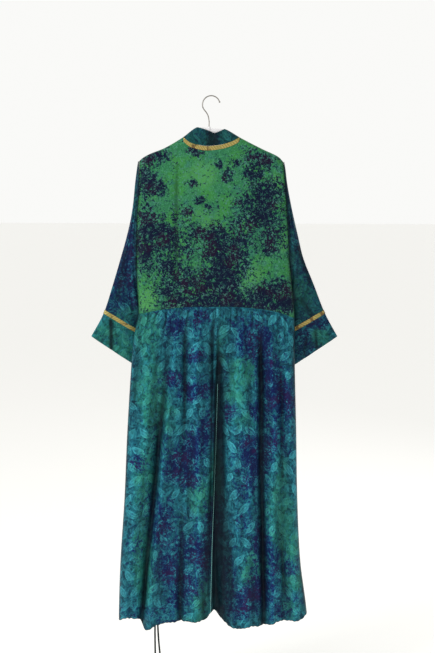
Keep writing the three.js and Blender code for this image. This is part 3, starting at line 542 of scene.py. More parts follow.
def smooth_line(points, steps):
    """A centripetal Catmull-Rom line through points, as three.js draws it."""
    p = np.array(points, float)
    p = np.concatenate([[2 * p[0] - p[1]], p, [2 * p[-1] - p[-2]]])
    out = []
    for g in np.linspace(0, len(points) - 1, steps + 1):
        i = min(int(g), len(points) - 2)
        t = g - i
        p0, p1, p2, p3 = p[i : i + 4]
        d0, d1, d2 = (max(np.linalg.norm(b - a) ** 0.5, 1e-4) for a, b in ((p0, p1), (p1, p2), (p2, p3)))
        m1 = ((p1 - p0) / d0 - (p2 - p0) / (d0 + d1) + (p2 - p1) / d1) * d1
        m2 = ((p2 - p1) / d1 - (p3 - p1) / (d1 + d2) + (p3 - p2) / d2) * d1
        h = (2 * t**3 - 3 * t * t + 1, t**3 - 2 * t * t + t, -2 * t**3 + 3 * t * t, t**3 - t * t)
        out.append(h[0] * p1 + h[1] * m1 + h[2] * p2 + h[3] * m2)
    return np.array(out)


# ---------- the ties ----------
def make_tie(which):
    xs, end = TIES[which]
    route = [(x, y, mix(TIE_TOP, end, s)) for x, y, s in zip(xs, TIE_Y, TIE_DOWN)]
    line = smooth_line(route, 30)
    data = bpy.data.curves.new("tie_" + which, "CURVE")
    data.dimensions = "3D"
    data.bevel_depth = TIE_RADIUS * MM
    data.bevel_resolution = 5
    data.use_fill_caps = True
    spline = data.splines.new("POLY")
    spline.points.add(len(line) - 1)
    spline.points.foreach_set("co", np.c_[line * MM, np.ones(len(line))].ravel())
    tie = bpy.data.objects.new("tie_" + which, data)
    bpy.context.scene.collection.objects.link(tie)
    centre = np.array([xs[-1], TIE_Y[-1], end - SEAM - 6])
    t = circle(120)
    knot = np.c_[np.sin(t) + 2 * np.sin(2 * t), 0.9 * (np.cos(t) - 2 * np.cos(2 * t)), -1.7 * np.sin(3 * t)]
    knot = sweep("knot_" + which, centre + knot * 1.15, 1.75, 12, closed=True)
    stub = smooth_line([centre + o for o in ((0, 0, 4), (0.3, 0, -2), (-0.2, 0.3, -8), (0.5, 0, -13))], 12)
    stub = sweep("knot_end_" + which, stub, [2.3] * 9 + [2.5, 2.8, 2.9, 2.5], 16)
    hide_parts("tie_tail_" + which)
    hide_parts("tie_knot_" + which)
    return [tie, knot, stub]


tie_pieces = make_tie("outer") + make_tie("inner")


# ---------- materials ----------
def srgb(r, g, b):
    return tuple(
        (c / 12.92 if c <= 0.04045 else ((c + 0.055) / 1.055) ** 2.4) for c in (r / 255, g / 255, b / 255)
    ) + (1,)


class Wires:
    """Adds nodes to a material and joins them."""

    def __init__(self, name):
        self.material = bpy.data.materials.new(name)
        self.material.use_nodes = True
        self.tree = self.material.node_tree
        self.shader = next(n for n in self.tree.nodes if n.type == "BSDF_PRINCIPLED")
        where = self.tree.nodes.new("ShaderNodeTexCoord")
        self.uv, self.place = where.outputs["UV"], where.outputs["Object"]

    def node(self, kind, inputs=(), **settings):
        node = self.tree.nodes.new(kind)
        for key, value in settings.items():
            setattr(node, key, value)
        for key, value in dict(inputs).items():
            self.set(node.inputs[key], value)
        return node

    def set(self, socket, value):
        if isinstance(value, bpy.types.NodeSocket):
            self.tree.links.new(value, socket)
        else:
            socket.default_value = value

    def math(self, operation, a, b=0.0, c=0.0):
        node = self.node("ShaderNodeMath", {0: a, 1: b, 2: c}, operation=operation)
        return node.outputs[0]

    def times(self, a, b):
        return self.math("MULTIPLY", a, b)

    def plus(self, a, b):
        return self.math("ADD", a, b)

    def minus(self, a, b):
        return self.math("SUBTRACT", a, b)

    def times_plus(self, a, b, c):
        return self.math("MULTIPLY_ADD", a, b, c)

    def vector(self, operation, a, b=(0, 0, 0)):
        node = self.node("ShaderNodeVectorMath", {0: a, 1: b}, operation=operation)
        return node.outputs[0]

    def noise(self, scale, detail=2.0, rough=0.5, where=None, twist=0.0):
        inputs = {"Vector": where or self.place, "Scale": scale, "Detail": detail, "Roughness": rough}
        node = self.node("ShaderNodeTexNoise", {**inputs, "Distortion": twist})
        return node.outputs["Fac"]

    def range(self, value, low, high, to_low=0.0, to_high=1.0):
        inputs = {"Value": value, 1: low, 2: high, 3: to_low, 4: to_high}
        return self.node("ShaderNodeMapRange", inputs, interpolation_type="SMOOTHSTEP").outputs[0]

    def patch(self, noise, *limits):
        """Soft patches: a noise, put through a range."""
        return self.range(self.noise(*noise), *limits)

    def mix(self, share, a, b):
        node = self.node("ShaderNodeMix", data_type="RGBA")
        self.set(node.inputs[0], share)
        self.set(node.inputs[6], a)
        self.set(node.inputs[7], b)
        return node.outputs[2]

    def attribute(self, name):
        return self.node("ShaderNodeAttribute", attribute_name=name).outputs["Fac"]

    def bump(self, height, strength, distance, under=None):
        inputs = {"Height": height, "Strength": strength, "Distance": distance}
        if under:
            inputs["Normal"] = under
        return self.node("ShaderNodeBump", inputs).outputs[0]

    def finish(self, colour, rough, normal=None, **sockets):
        self.set(self.shader.inputs["Base Color"], colour)
        self.set(self.shader.inputs["Roughness"], rough)
        if normal:
            self.set(self.shader.inputs["Normal"], normal)
        for key, value in sockets.items():
            self.set(self.shader.inputs[key.replace("_", " ")], value)
        return self.material


def leaves(w, cell, long, wide, tilt, shift, fill=0.3):
    """Leaf shapes in offset rows on the flat cloth: how light each point is, with an edge and veins."""
    warp = w.node("ShaderNodeTexNoise", {"Vector": w.uv, "Scale": 12.0, "Detail": 1.0}).outputs["Color"]
    warp = w.vector("MULTIPLY", w.vector("SUBTRACT", warp, (0.5, 0.5, 0.5)), (0.024, 0.024, 0))
    p = w.vector("ADD", w.vector("ADD", w.uv, warp), shift)
    split = w.node("ShaderNodeSeparateXYZ", {0: w.vector("DIVIDE", p, (cell[0], cell[1], 1))})
    row = w.math("FLOOR", split.outputs[1])
    x = w.plus(split.outputs[0], w.times(row, 0.5))
    column = w.math("FLOOR", x)
    spot = w.node("ShaderNodeCombineXYZ", {0: column, 1: row}).outputs[0]
    chance = w.node("ShaderNodeTexWhiteNoise", {0: spot}, noise_dimensions="3D")
    pick = w.node("ShaderNodeSeparateXYZ", {0: chance.outputs["Color"]})
    parity = w.math("PINGPONG", w.plus(column, row), 1)
    lean = w.times_plus(parity, 2.0, -1.0)
    angle = w.times(lean, w.times_plus(pick.outputs[0], 0.6, tilt))
    dx = w.times(w.minus(w.math("FRACT", x), 0.5), cell[0])
    dy = w.times(w.minus(w.math("FRACT", split.outputs[1]), 0.5), cell[1])
    dx = w.plus(dx, w.times_plus(pick.outputs[1], 0.2 * cell[0], -0.1 * cell[0]))
    dy = w.plus(dy, w.times_plus(pick.outputs[2], 0.2 * cell[1], -0.1 * cell[1]))
    cos, sin = w.math("COSINE", angle), w.math("SINE", angle)
    a = w.math("ABSOLUTE", w.minus(w.times(dx, cos), w.times(dy, sin)))
    b = w.plus(w.times(dx, sin), w.times(dy, cos))
    size = w.times_plus(chance.outputs["Value"], 0.4, 0.75)
    t = w.math("DIVIDE", b, w.times(size, long / 2))
    reach = w.math("MAXIMUM", w.minus(1.0, w.times(t, t)), 0.001)
    off = w.math("DIVIDE", a, w.times(reach, wide / 2))
    inside = w.range(off, 0.85, 1.1, 1.0, 0.0)
    rim = w.times(inside, w.range(off, 0.5, 0.9))
    vein = w.math("SINE", w.times(w.minus(b, w.times(a, 1.3)), 1500.0))
    vein = w.times(inside, w.range(vein, 0.0, 0.9))
    rib = w.times(inside, w.range(a, 0.0003, 0.0012, 1.0, 0.0))
    light = w.times_plus(inside, fill, w.times(rim, 0.45))
    light = w.times_plus(vein, 0.22, light)
    light = w.times_plus(rib, 0.3, light)
    return w.times(light, w.range(pick.outputs[2], 0.05, 0.4, 0.25, 1.0))


def grain(w, level, share_mid, share_fine, twist=0.9):
    """A stain's strength, broken up into branching grains at its edges."""
    mid = w.noise(78.0, 4.0, 0.66, twist=twist)
    fine = w.noise(190.0, 3.0, 0.65, twist=twist)
    level = w.times_plus(w.minus(mid, 0.5), share_mid, level)
    return w.times_plus(w.minus(fine, 0.5), share_fine, level)


def silk_normal(w):
    wave = w.node("ShaderNodeTexWave", {"Vector": w.uv, "Scale": 420.0, "Distortion": 1.5, "Detail": 1.0})
    weave = w.bump(wave.outputs["Fac"], 0.06, 0.0002)
    return w.bump(w.noise(55.0, 3.0, 0.55, twist=0.6), 0.2, 0.004, under=weave)


def with_painted_fold_shade(w, colour, dark, painted_highlight_gain):
    """The colour with painted shade, towards `dark`, in its folds' valleys and a painted highlight on their
    ridges.
    """
    deep = w.attribute("deep")
    ridge = w.range(deep, -0.9, 0.05, painted_highlight_gain, 1.0)
    lift = w.node("ShaderNodeVectorMath", {0: colour, "Scale": ridge}, operation="SCALE")
    return w.mix(w.range(deep, 0.0, 1.0, 0.0, 0.92), lift.outputs[0], dark)


def dye_yoke():
    w = Wires("yoke_silk")
    base = w.mix(w.patch((16.0, 2.0), 0.4, 0.62), srgb(46, 114, 74), srgb(54, 126, 62))
    base = w.mix(w.patch((44.0, 4.0, 0.6), 0.5, 0.66), base, srgb(48, 112, 90))
    tint = w.range(w.times_plus(w.noise(38.0, 3.0), 0.8, w.attribute("green")), 0.6, 1.3)
    base = w.mix(tint, base, srgb(72, 142, 78))
    base = w.mix(w.patch((240.0, 2.0, 0.6), 0.52, 0.66, 0.0, 0.7), base, srgb(72, 148, 104))
    level = grain(w, w.times(w.attribute("dark"), 0.86), 2.4, 2.4)
    dark = w.mix(w.patch((21.0, 2.0), 0.46, 0.62), srgb(8, 17, 44), srgb(27, 12, 40))
    shade = w.mix(w.patch((120.0, 2.0), 0.45, 0.6), srgb(16, 50, 62), srgb(14, 32, 66))
    colour = w.mix(w.range(level, 0.27, 0.44, 0.0, 0.88), base, shade)
    colour = w.mix(w.range(level, 0.48, 0.64, 0.0, 0.97), colour, dark)
    specks = w.patch((150.0, 3.0, 0.65, None, 0.9), 0.56, 0.66, 0.0, 0.78)
    specks = w.times(specks, w.range(w.attribute("dark"), 0.75, 1.15, 1.0, 0.05))
    colour = w.mix(specks, colour, srgb(78, 132, 122))
    # painted shade in the folds, towards near-black green, and painted highlight on the ridges
    colour = with_painted_fold_shade(w, colour, srgb(4, 20, 22), 1.25)
    rough = w.patch((120.0, 2.0), 0.3, 0.7, 0.4, 0.55)
    return w.finish(colour, rough, silk_normal(w), Sheen_Weight=0.03, Specular_IOR_Level=0.08)


def dye_print():
    w = Wires("print_silk")
    base = w.mix(w.patch((13.0, 3.0), 0.4, 0.62), srgb(6, 58, 76), srgb(16, 82, 100))
    tint = w.range(w.times_plus(w.noise(26.0, 3.0), 0.9, w.attribute("green")), 0.5, 1.1)
    base = w.mix(tint, base, srgb(26, 98, 86))
    streak = w.vector("MULTIPLY", w.uv, (1, 0.45, 1))
    fibre = w.noise(130.0, 4.0, 0.65, where=streak, twist=0.8)
    base = w.mix(w.range(fibre, 0.42, 0.7, 0.0, 0.72), base, srgb(42, 130, 144))
    base = w.mix(w.patch((70.0, 4.0, 0.65, None, 1.2), 0.46, 0.66, 0.0, 0.8), base, srgb(2, 28, 48))
    one = leaves(w, (0.042, 0.047), 0.046, 0.0195, 0.35, (0, 0, 0), 0.38)
    two = leaves(w, (0.031, 0.037), 0.04, 0.0085, 0.5, (0.021, 0.033, 0), 0.2)
    three = leaves(w, (0.038, 0.033), 0.036, 0.006, 0.95, (0.012, 0.011, 0), 0.2)
    light = w.math("MAXIMUM", one, w.times(w.math("MAXIMUM", two, three), 0.7))
    light = w.times(light, w.patch((24.0, 2.0), 0.35, 0.6, 0.5, 1.0))
    light = w.times(light, w.patch((150.0, 3.0, 0.6), 0.35, 0.6, 0.5, 1.0))
    colour = w.mix(light, base, w.mix(tint, srgb(63, 162, 176), srgb(60, 152, 134)))
    level = w.times_plus(light, -0.1, w.times(w.attribute("dark"), 0.85))
    level = grain(w, level, 2.2, 2.0)
    dark = w.mix(w.patch((24.0, 2.0), 0.46, 0.62), srgb(6, 14, 62), srgb(32, 12, 58))
    shade = w.mix(w.patch((170.0, 2.0), 0.5, 0.7), srgb(10, 36, 88), srgb(20, 66, 118))
    colour = w.mix(w.range(level, 0.26, 0.54, 0.0, 0.8), colour, shade)
    colour = w.mix(w.range(level, 0.48, 0.78, 0.0, 0.9), colour, dark)
    dots = w.node("ShaderNodeTexVoronoi", {"Vector": w.uv, "Scale": 62.0}).outputs["Distance"]
    colour = w.mix(w.range(dots, 0.1, 0.2, 0.6, 0.0), colour, srgb(4, 24, 48))
    # painted shade in the folds, towards near-black blue, and painted highlight on the ridges
    colour = with_painted_fold_shade(w, colour, srgb(1, 13, 24), 1.55)
    rough = w.patch((120.0, 2.0), 0.3, 0.7, 0.38, 0.52)
    return w.finish(colour, rough, silk_normal(w), Sheen_Weight=0.03, Specular_IOR_Level=0.1)


def gold_ribbon():
    w = Wires("gold_ribbon")
    split = w.node("ShaderNodeSeparateXYZ", {0: w.uv})
    slope = w.plus(split.outputs[0], w.times(split.outputs[1], 0.8))
    bars = w.range(w.math("SINE", w.times(slope, TURN / 0.0075)), -0.3, 0.6)
    patch = w.patch((32.0, 1.0), 0.47, 0.6)
    gold = w.mix(bars, srgb(160, 140, 72), srgb(190, 172, 100))
    colour = w.mix(w.times(patch, 0.5), gold, srgb(140, 146, 82))
    # brown worn patches from a noise, spread wider by the painted shade held in the dark attribute
    wear_and_shade = w.times_plus(w.attribute("dark"), 0.22, w.noise(58.0, 2.0))
    colour = w.mix(w.range(wear_and_shade, 0.6, 0.68, 0.0, 0.8), colour, srgb(84, 52, 28))
    threads = w.node("ShaderNodeTexWave", {"Vector": w.uv, "Scale": 260.0}, bands_direction="DIAGONAL")
    colour = w.mix(w.times(threads.outputs["Fac"], 0.25), colour, srgb(110, 84, 36))
    height = w.plus(w.times(bars, 0.6), threads.outputs["Fac"])
    rough = w.patch((400.0, 1.0), 0.3, 0.7, 0.3, 0.5)
    return w.finish(colour, rough, w.bump(height, 0.5, 0.0004), Metallic=0.35, Specular_IOR_Level=0.5)


def tie_cord():
    w = Wires("tie_cord")
    where = w.vector("MULTIPLY", w.place, (1, 1, 0.5))
    wave = w.node("ShaderNodeTexWave", {"Vector": where, "Scale": 160.0}, bands_direction="DIAGONAL")
    lines = wave.outputs["Fac"]
    colour = w.mix(lines, srgb(4, 10, 12), srgb(12, 26, 28))
    colour = w.mix(w.patch((700.0, 1.0), 0.55, 0.7), colour, srgb(22, 38, 38))
    rough = w.patch((300.0, 1.0), 0.3, 0.7, 0.75, 0.95)
    return w.finish(colour, rough, w.bump(lines, 0.4, 0.0004), Specular_IOR_Level=0.05)


def plastic():
    w = Wires("white_plastic")
    colour = w.mix(w.patch((26.0, 3.0), 0.4, 0.7), srgb(240, 238, 240), srgb(226, 224, 226))
    rough = w.patch((90.0, 3.0), 0.3, 0.7, 0.28, 0.44)
    return w.finish(colour, rough, w.bump(w.noise(420.0, 2.0), 0.08, 0.0003))


def steel():
    w = Wires("wire_steel")
    where = w.vector("MULTIPLY", w.place, (1, 1, 0.15))
    lines = w.noise(900.0, 3.0, 0.6, where=where)
    colour = w.mix(w.range(lines, 0.4, 0.65), srgb(138, 134, 128), srgb(172, 168, 162))
    rough = w.range(lines, 0.35, 0.7, 0.3, 0.5)
    return w.finish(colour, rough, w.bump(lines, 0.15, 0.0002), Metallic=1.0)


def thread(name, colour):
    w = Wires(name)
    lines = w.noise(1600.0, 2.0)
    shade = w.mix(w.range(lines, 0.35, 0.7), tuple(c * 0.7 for c in colour[:3]) + (1,), colour)
    return w.finish(shade, w.range(lines, 0.3, 0.7, 0.45, 0.65), w.bump(lines, 0.3, 0.0003))


YOKE = dye_yoke()
PRINT = dye_print()
GOLD = gold_ribbon()
CORD = tie_cord()
WHITE = plastic()
STEEL = steel()
PALE_THREAD = thread("pale_thread", srgb(140, 210, 206))
DARK_THREAD = thread("dark_thread", srgb(24, 52, 62))


def dress(piece, material, slot, *nodes):
    piece.data.materials.append(material)
    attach(piece, "root")
    if nodes:
        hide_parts(*nodes)
    return piece


for tie_piece in tie_pieces:
    dress(tie_piece, CORD, "tie")


# ---------- where the stains of each piece lie, and its painted shade and highlight ---
def beside(x, z):
    """How far a point of a sleeve is from the bodice's side."""
    return np.abs(np.where(x < 0, read(BODY, LEFT, z) - x, x - read(BODY, RIGHT, z)))


def painted_crease_shade(lines, x, z):
    """How much painted shade a few straight creases get at a point. They are colour, and move no point."""
    deep = np.zeros(np.shape(x))
    for x0, z0, x1, z1, width, strength in lines:
        along = np.array([x1 - x0, z1 - z0], float)
        share = clamp01(((x - x0) * along[0] + (z - z0) * along[1]) / (along @ along))
        off = np.hypot(x - x0 - share * along[0], z - z0 - share * along[1])
        deep = np.maximum(deep, strength * np.exp(-((off / width) ** 2)))
    return deep


def dye_and_painted_shade(dark, green, face, drop=0, lines=()):
    """The stains of a body piece, and the painted shade and highlight of its folds, sides and creases. On the
    front the back's stains stand mirrored.
    """
    return {
        "dark": lambda x, z: spots(dark, -face * x, z + drop),
        "green": lambda x, z: spots(green, -face * x, z + drop),
        # deep: painted shade and highlight
        "deep": lambda x, z: painted_fold_shade(face, x, z) + painted_crease_shade(lines, x, z),
    }


yoke_stains = dye_and_painted_shade(YOKE_DARK, YOKE_LIME, -1, lines=YOKE_CREASE_SHADE)
front_stains = dye_and_painted_shade(YOKE_DARK, YOKE_LIME, 1)
print_stains = dye_and_painted_shade(PRINT_DARK, PRINT_GREEN, -1)
front_print_and_shade = dye_and_painted_shade(PRINT_DARK, PRINT_GREEN, 1, 60)
sleeve_stains = {
    "dark": lambda x, z: 0.25 + 0.6 * spots(SLEEVE_DARK, x, z),
    "green": lambda x, z: spots(SLEEVE_GREEN, x, z) + 0.35 * (x > 0),
    # deep: painted shade, even over each sleeve and heavier on the right, darker beside the bodice's side and
    # in the creases
    "deep": lambda x, z: (
        np.where(x < 0, 0.36, 0.5) + 0.4 * np.exp(-((beside(x, z) / 8) ** 2)) + painted_crease_shade(SLEEVE_CREASE_SHADE, x, z)
    ),
}
cuff_stains = {
    "dark": lambda x, z: spots(SLEEVE_DARK, x, z),
    "green": lambda x, z: spots(SLEEVE_GREEN, x, z) + 0.3 * (x < 0),
    # deep: painted shade, even over each cuff and heavier on the right, and in the creases
    "deep": lambda x, z: np.where(x < 0, 0.14, 0.42) + painted_crease_shade(SLEEVE_CREASE_SHADE, x, z),
}
# the cuff ribbons' painted shade: heavier on the right and in the sleeves' creases
ribbon_stains = {"dark": lambda x, z: np.where(x < 0, 0.1, 0.45) + 0.5 * painted_crease_shade(SLEEVE_CREASE_SHADE, x, z)}
collar_stains = {
    "dark": lambda x, z: 0.15 + 0 * x,
    "green": lambda x, z: 0.4 + 0 * x,
    # deep: painted shade over the whole collar, darkest at its middle crease
    "deep": lambda x, z: 0.56 + 0.5 * np.exp(-(((x - 5) / 14) ** 2)),
}


# ---------- the bodice ----------
def bodice_back_at(u, row):
    def across(z):
        side = np.where(u < 0, read(BODY, LEFT, z), read(BODY, RIGHT, z))
        return mix((read(BODY, LEFT, z) + read(BODY, RIGHT, z)) / 2, side, np.abs(u))

    x_top = across(SHOULDER_END)
    z_top = np.where(np.abs(u) < NECK_HALF, read(NECK, 1, x_top), shoulder(x_top))
    z_end = read(WAIST, 1, across(WAIST[0][1])) + SEAM
    z = row_height(row, x_top, z_top, z_end)
    return body(-1, across(z), z)


neck_shares = NECK_COLUMNS + [1 - s for s in reversed(NECK_COLUMNS[:-1])]
neck_columns = [mix(-NECK_HALF, NECK_HALF, s) for s in neck_shares]
bodice_columns = finer(
    [*evenly(10, -1, -NECK_HALF)[:-1], *neck_columns[1:-1], *evenly(10, NECK_HALF, 1)[1:]], 5
)
ROW_PARTS = [3] * TOP_ROWS + [20, 20, 18, 11, 6] + [16, 16, 16]
bodice_rows = finer(np.arange(BODICE_ROWS + 1.0), ROW_PARTS)
dress(
    body_wall("silk_bodice_back", -1, bodice_back_at, bodice_columns, bodice_rows, CLOTH, stains=yoke_stains),
    YOKE, "yoke_silk", "bodice_back",
)
neck_ribbon = dress(
    body_wall(
        "ribbon_neck", -1, bodice_back_at, finer(neck_columns[1:-1], 6), evenly(10, 0.05, 2.95),
        RIBBON, ON_CLOTH,
    ),
    GOLD, "ribbon", "neck_ribbon",
)


def ridge_at(across):
    x = across(SHOULDER_END)
    for _ in range(8):
        x = across(shoulder(x))
    return x


def bodice_front(hand):
    def across(u, z):
        return mix(read(BODY, HAND[hand], z), read(FRONT_EDGE, SEAM_OF[hand], z), u)

    def at(u, row):
        x_top = ridge_at(lambda z: across(u, z))
        z_end = read(WAIST, 1, across(u, WAIST[0][1])) + SEAM
        z = row_height(row, x_top, shoulder(x_top), z_end)
        return body(1, across(u, z), z)

    piece = body_wall(
        "silk_bodice_front_" + hand, 1, at, evenly(50), bodice_rows, CLOTH,
        stains=front_stains, place=(0.7, 0.3),
    )
    dress(piece, YOKE, "yoke_silk", "bodice_front_" + hand)


for hand in HAND:
    bodice_front(hand)


# ---------- the skirt ----------
HEM_STITCH_UP = 0.0075  # the share of the skirt's length from the hem to its stitches
HEM_WAVE = 900  # how long the skirt is taken to be, for how near a point is to the hem


def hem_ripple(p, v, length):
    """The rolled hem's small waves, in the last few millimetres."""
    near = ease(1 - (1 - v) * length / 16)
    x = p[..., 0]
    wave = np.sin(TURN * x / 14.5) + 0.6 * np.sin(TURN * x / 9.3 + 1.0)
    p[..., 1] += 0.9 * near * wave
    p[..., 2] += 0.7 * near * np.cos(TURN * x / 12.1)
    return p


def skirt(name, face, hand, inner, hem, columns, rows, stains, lean=(0.5, 0.5), place=(0, 0)):
    top, low = lean

    def across(u, v, z):
        knee = mix(top, low, v)
        share = np.where(u < top, u / top * knee, mix(knee, 1, (u - top) / (1 - top)))
        return mix(read(BODY, HAND[hand], z), inner(z), share)

    def at(u, v):
        z_top = read(WAIST, 1, across(u, 0, WAIST[0][1])) - SEAM / 2
        z = mix(z_top, read(hem, 1, across(u, 1, hem[0][1])), v)
        return hem_ripple(body(face, across(u, v, z), z), v, HEM_WAVE)

    us = finer([0, top, 1], [round(columns * top), columns - round(columns * top)])
    vs = np.concatenate([evenly(rows, 0, 0.975)[:-1], evenly(12, 0.975, 1)])
    piece = body_wall(name, face, at, us, vs, CLOTH, stains=stains, place=place)
    edge, sewn = at(us, np.ones_like(us)), at(us, np.ones_like(us) - HEM_STITCH_UP)
    roll = sweep(name.replace("silk", "hem"), edge + normal_of(face, edge) * 0.2, 1.0, 8)
    dress(roll, DARK_THREAD, "print_silk")
    return piece, sewn + normal_of(face, sewn) * (CLOTH / 2 + 0.1)


def stitches(name, line, long, gap, radius, material, slot):
    """A row of stitches along a line, each a short bar."""
    steps = np.linalg.norm(np.diff(line, axis=0), axis=1)
    along = np.concatenate([[0], np.cumsum(steps)])
    starts = np.arange(0.5, along[-1] - long, long + gap)
    angles = circle(5)
    points, quads = [], []
    for start in starts:
        a, b = (np.array([np.interp(start + d, along, line[:, k]) for k in range(3)]) for d in (0, long))
        way = unit(b - a)
        side = unit(np.cross(way, [0, 1, 0]))
        other = np.cross(way, side)
        first = len(points) * 10
        ring = np.outer(np.cos(angles), side) * radius + np.outer(np.sin(angles), other) * radius
        points.append(np.concatenate([a + ring, b + ring]))
        quads += [[first + k, first + (k + 1) % 5, first + 5 + (k + 1) % 5, first + 5 + k] for k in range(5)]
        quads += [[first + k for k in range(4, -1, -1)], [first + 5 + k for k in range(5)]]
    dress(new_mesh(name, np.concatenate(points), quads, sharp=0), material, slot)


skirts = {}
for hand in HAND:
    sign = SIGN[hand]
    skirts["back_" + hand] = skirt(
        "silk_skirt_back_" + hand, -1, hand, lambda z, s=sign: read(BACK_SEAM, 1, z) + s * SEAM / 2,
        HEM_BACK, 112, 250, print_stains, LEAN[hand], (0.2 + 0.1 * sign, 0),
    )
    skirts["front_" + hand] = skirt(
        "silk_skirt_front_" + hand, 1, hand, lambda z, h=hand: read(FRONT_EDGE, SEAM_OF[h], z),
        HEM_FRONT, 60, 210, front_print_and_shade, place=(1.1 + 0.3 * sign, 0.1),
    )
for key, (panel, line) in skirts.items():
    dress(panel, PRINT, "print_silk", "skirt_" + key)
    stitches("stitch_hem_" + key, line, 2.6, 1.2, 0.25, DARK_THREAD, "print_silk")

seam_z = np.linspace(-800, -1478, 340)
seam_line = body(-1, read(BACK_SEAM, 1, seam_z), seam_z)
seam_line[:, 1] -= 0.75
stitches("stitch_back_seam", seam_line, 5.0, 0.8, 0.75, PALE_THREAD, "print_silk")


# ---------- seam tapes on the inside, and a tack under each arm ----------
TAPE = 0.4
TAPE_IN = -(CLOTH / 2 + 0.5)  # from the cloth's middle to the tape's, inwards


def waist_tape(name, face, start, end, columns):
    def at(u, v):
        left = read(BODY, LEFT, WAIST[0][1])
        x = left + (read(BODY, RIGHT, WAIST[0][1]) - left) * mix(start, end, u)
        return body(face, x, read(WAIST, 1, x) + v)

    tape = body_wall(name, face, at, evenly(columns), evenly(6, 6, -6), TAPE, TAPE_IN)
    return dress(tape, YOKE, "yoke_silk")


waist_tapes = {
    "back": waist_tape("tape_waist_back", -1, 0.004, 0.996, 180),
    "left": waist_tape("tape_waist_left", 1, 0.004, 0.34, 70),
    "right": waist_tape("tape_waist_right", 1, 0.6, 0.996, 70),
}


def seam_tape_at(u, z):
    return body(-1, read(BACK_SEAM, 1, z) + u, z)


seam_tape = body_wall(
    "tape_back_seam", -1, seam_tape_at, evenly(8, -5, 5), evenly(200, -590, -1474), TAPE, TAPE_IN
)
dress(seam_tape, PRINT, "print_silk")
for hand in HAND:
    tack_z = np.linspace(-433, -449, 9)
    tack_x = read(BODY, HAND[hand], tack_z) + 0.4 * SIGN[hand]
    tack = sweep("tack_" + hand, np.stack([tack_x, 0 * tack_z, tack_z], -1), 1.5, 10)
    dress(tack, DARK_THREAD, "print_silk")


# ---------- collar and bands ----------
BAND_STITCH_IN = 0.06  # the share of the band's width from its seam to its stitches


def band_across(hand, v, z):
    return mix(read(FRONT_EDGE, SEAM_OF[hand], z), read(FRONT_EDGE, FREE_OF[hand], z), v)


def band_at(hand, row, v):
    x_top = ridge_at(lambda z: band_across(hand, v, z))
    waist = read(WAIST, 1, band_across(hand, v, WAIST[0][1]))
    hem = read(HEM_FRONT, 1, band_across(hand, v, HEM_FRONT[0][1]))
    upper = row_height(np.minimum(row, BODICE_ROWS - 1e-6), x_top, shoulder(x_top), waist)
    z = np.where(row < BODICE_ROWS, upper, mix(waist, hem, (row - BODICE_ROWS) / FRONT_ROWS))
    return body(1, band_across(hand, v, z), z)


def collar_at(s, v):
    def line(share, across):
        seam_x, free_x = mix(NECK[0][0], NECK[-1][0], share), mix(COLLAR_TOP[0][0], COLLAR_TOP[-1][0], share)
        x, z = mix(seam_x, free_x, across), mix(read(NECK, 1, seam_x), read(COLLAR_TOP, 1, free_x), across)
        return np.stack(np.broadcast_arrays(x, z), -1)

    def ridge(hand):
        x = ridge_at(lambda z: band_across(hand, v, z))
        return np.stack([x, shoulder(x)], -1)

    place = line(s, v)
    place = place + (ridge("left") - line(0 * s, v)) * (1 - s)[..., None]
    place = place + (ridge("right") - line(0 * s + 1, v)) * s[..., None]
    p = body(-1, place[..., 0], place[..., 1])
    off = np.abs(place[..., 0] - CREASE["x"] * v) / mix(CREASE["low"], CREASE["high"], v)
    p[..., 1] += CREASE["deep"] * (1 - ease(off)) * ease(v * 4)
    return p


collar_rows = evenly(20, SEAM / 40, 1)
dress(
    body_wall("silk_collar", -1, collar_at, finer(neck_shares, 6), collar_rows, BAND, stains=collar_stains),
    PRINT, "print_silk", "collar",
)
for hand in HAND:
    rows = finer(np.arange(BODICE_ROWS + FRONT_ROWS + 1.0), ROW_PARTS + [20] * FRONT_ROWS)
    rows[0] = SEAM / TOP_STEP
    band = body_wall(
        "silk_band_" + hand, 1, lambda row, v, h=hand: band_at(h, row, v), rows, collar_rows[::2], BAND,
        stains=front_print_and_shade, place=(2, 0.5 + 0.2 * SIGN[hand]),
    )
    dress(band, PRINT, "print_silk", "band_" + hand)
    sewn = band_at(hand, rows, 0 * rows + BAND_STITCH_IN)
    line = sewn + normal_of(1, sewn) * (BAND / 2 + 0.05)
    stitches("stitch_band_" + hand, line, 2.6, 1.2, 0.22, DARK_THREAD, "print_silk")


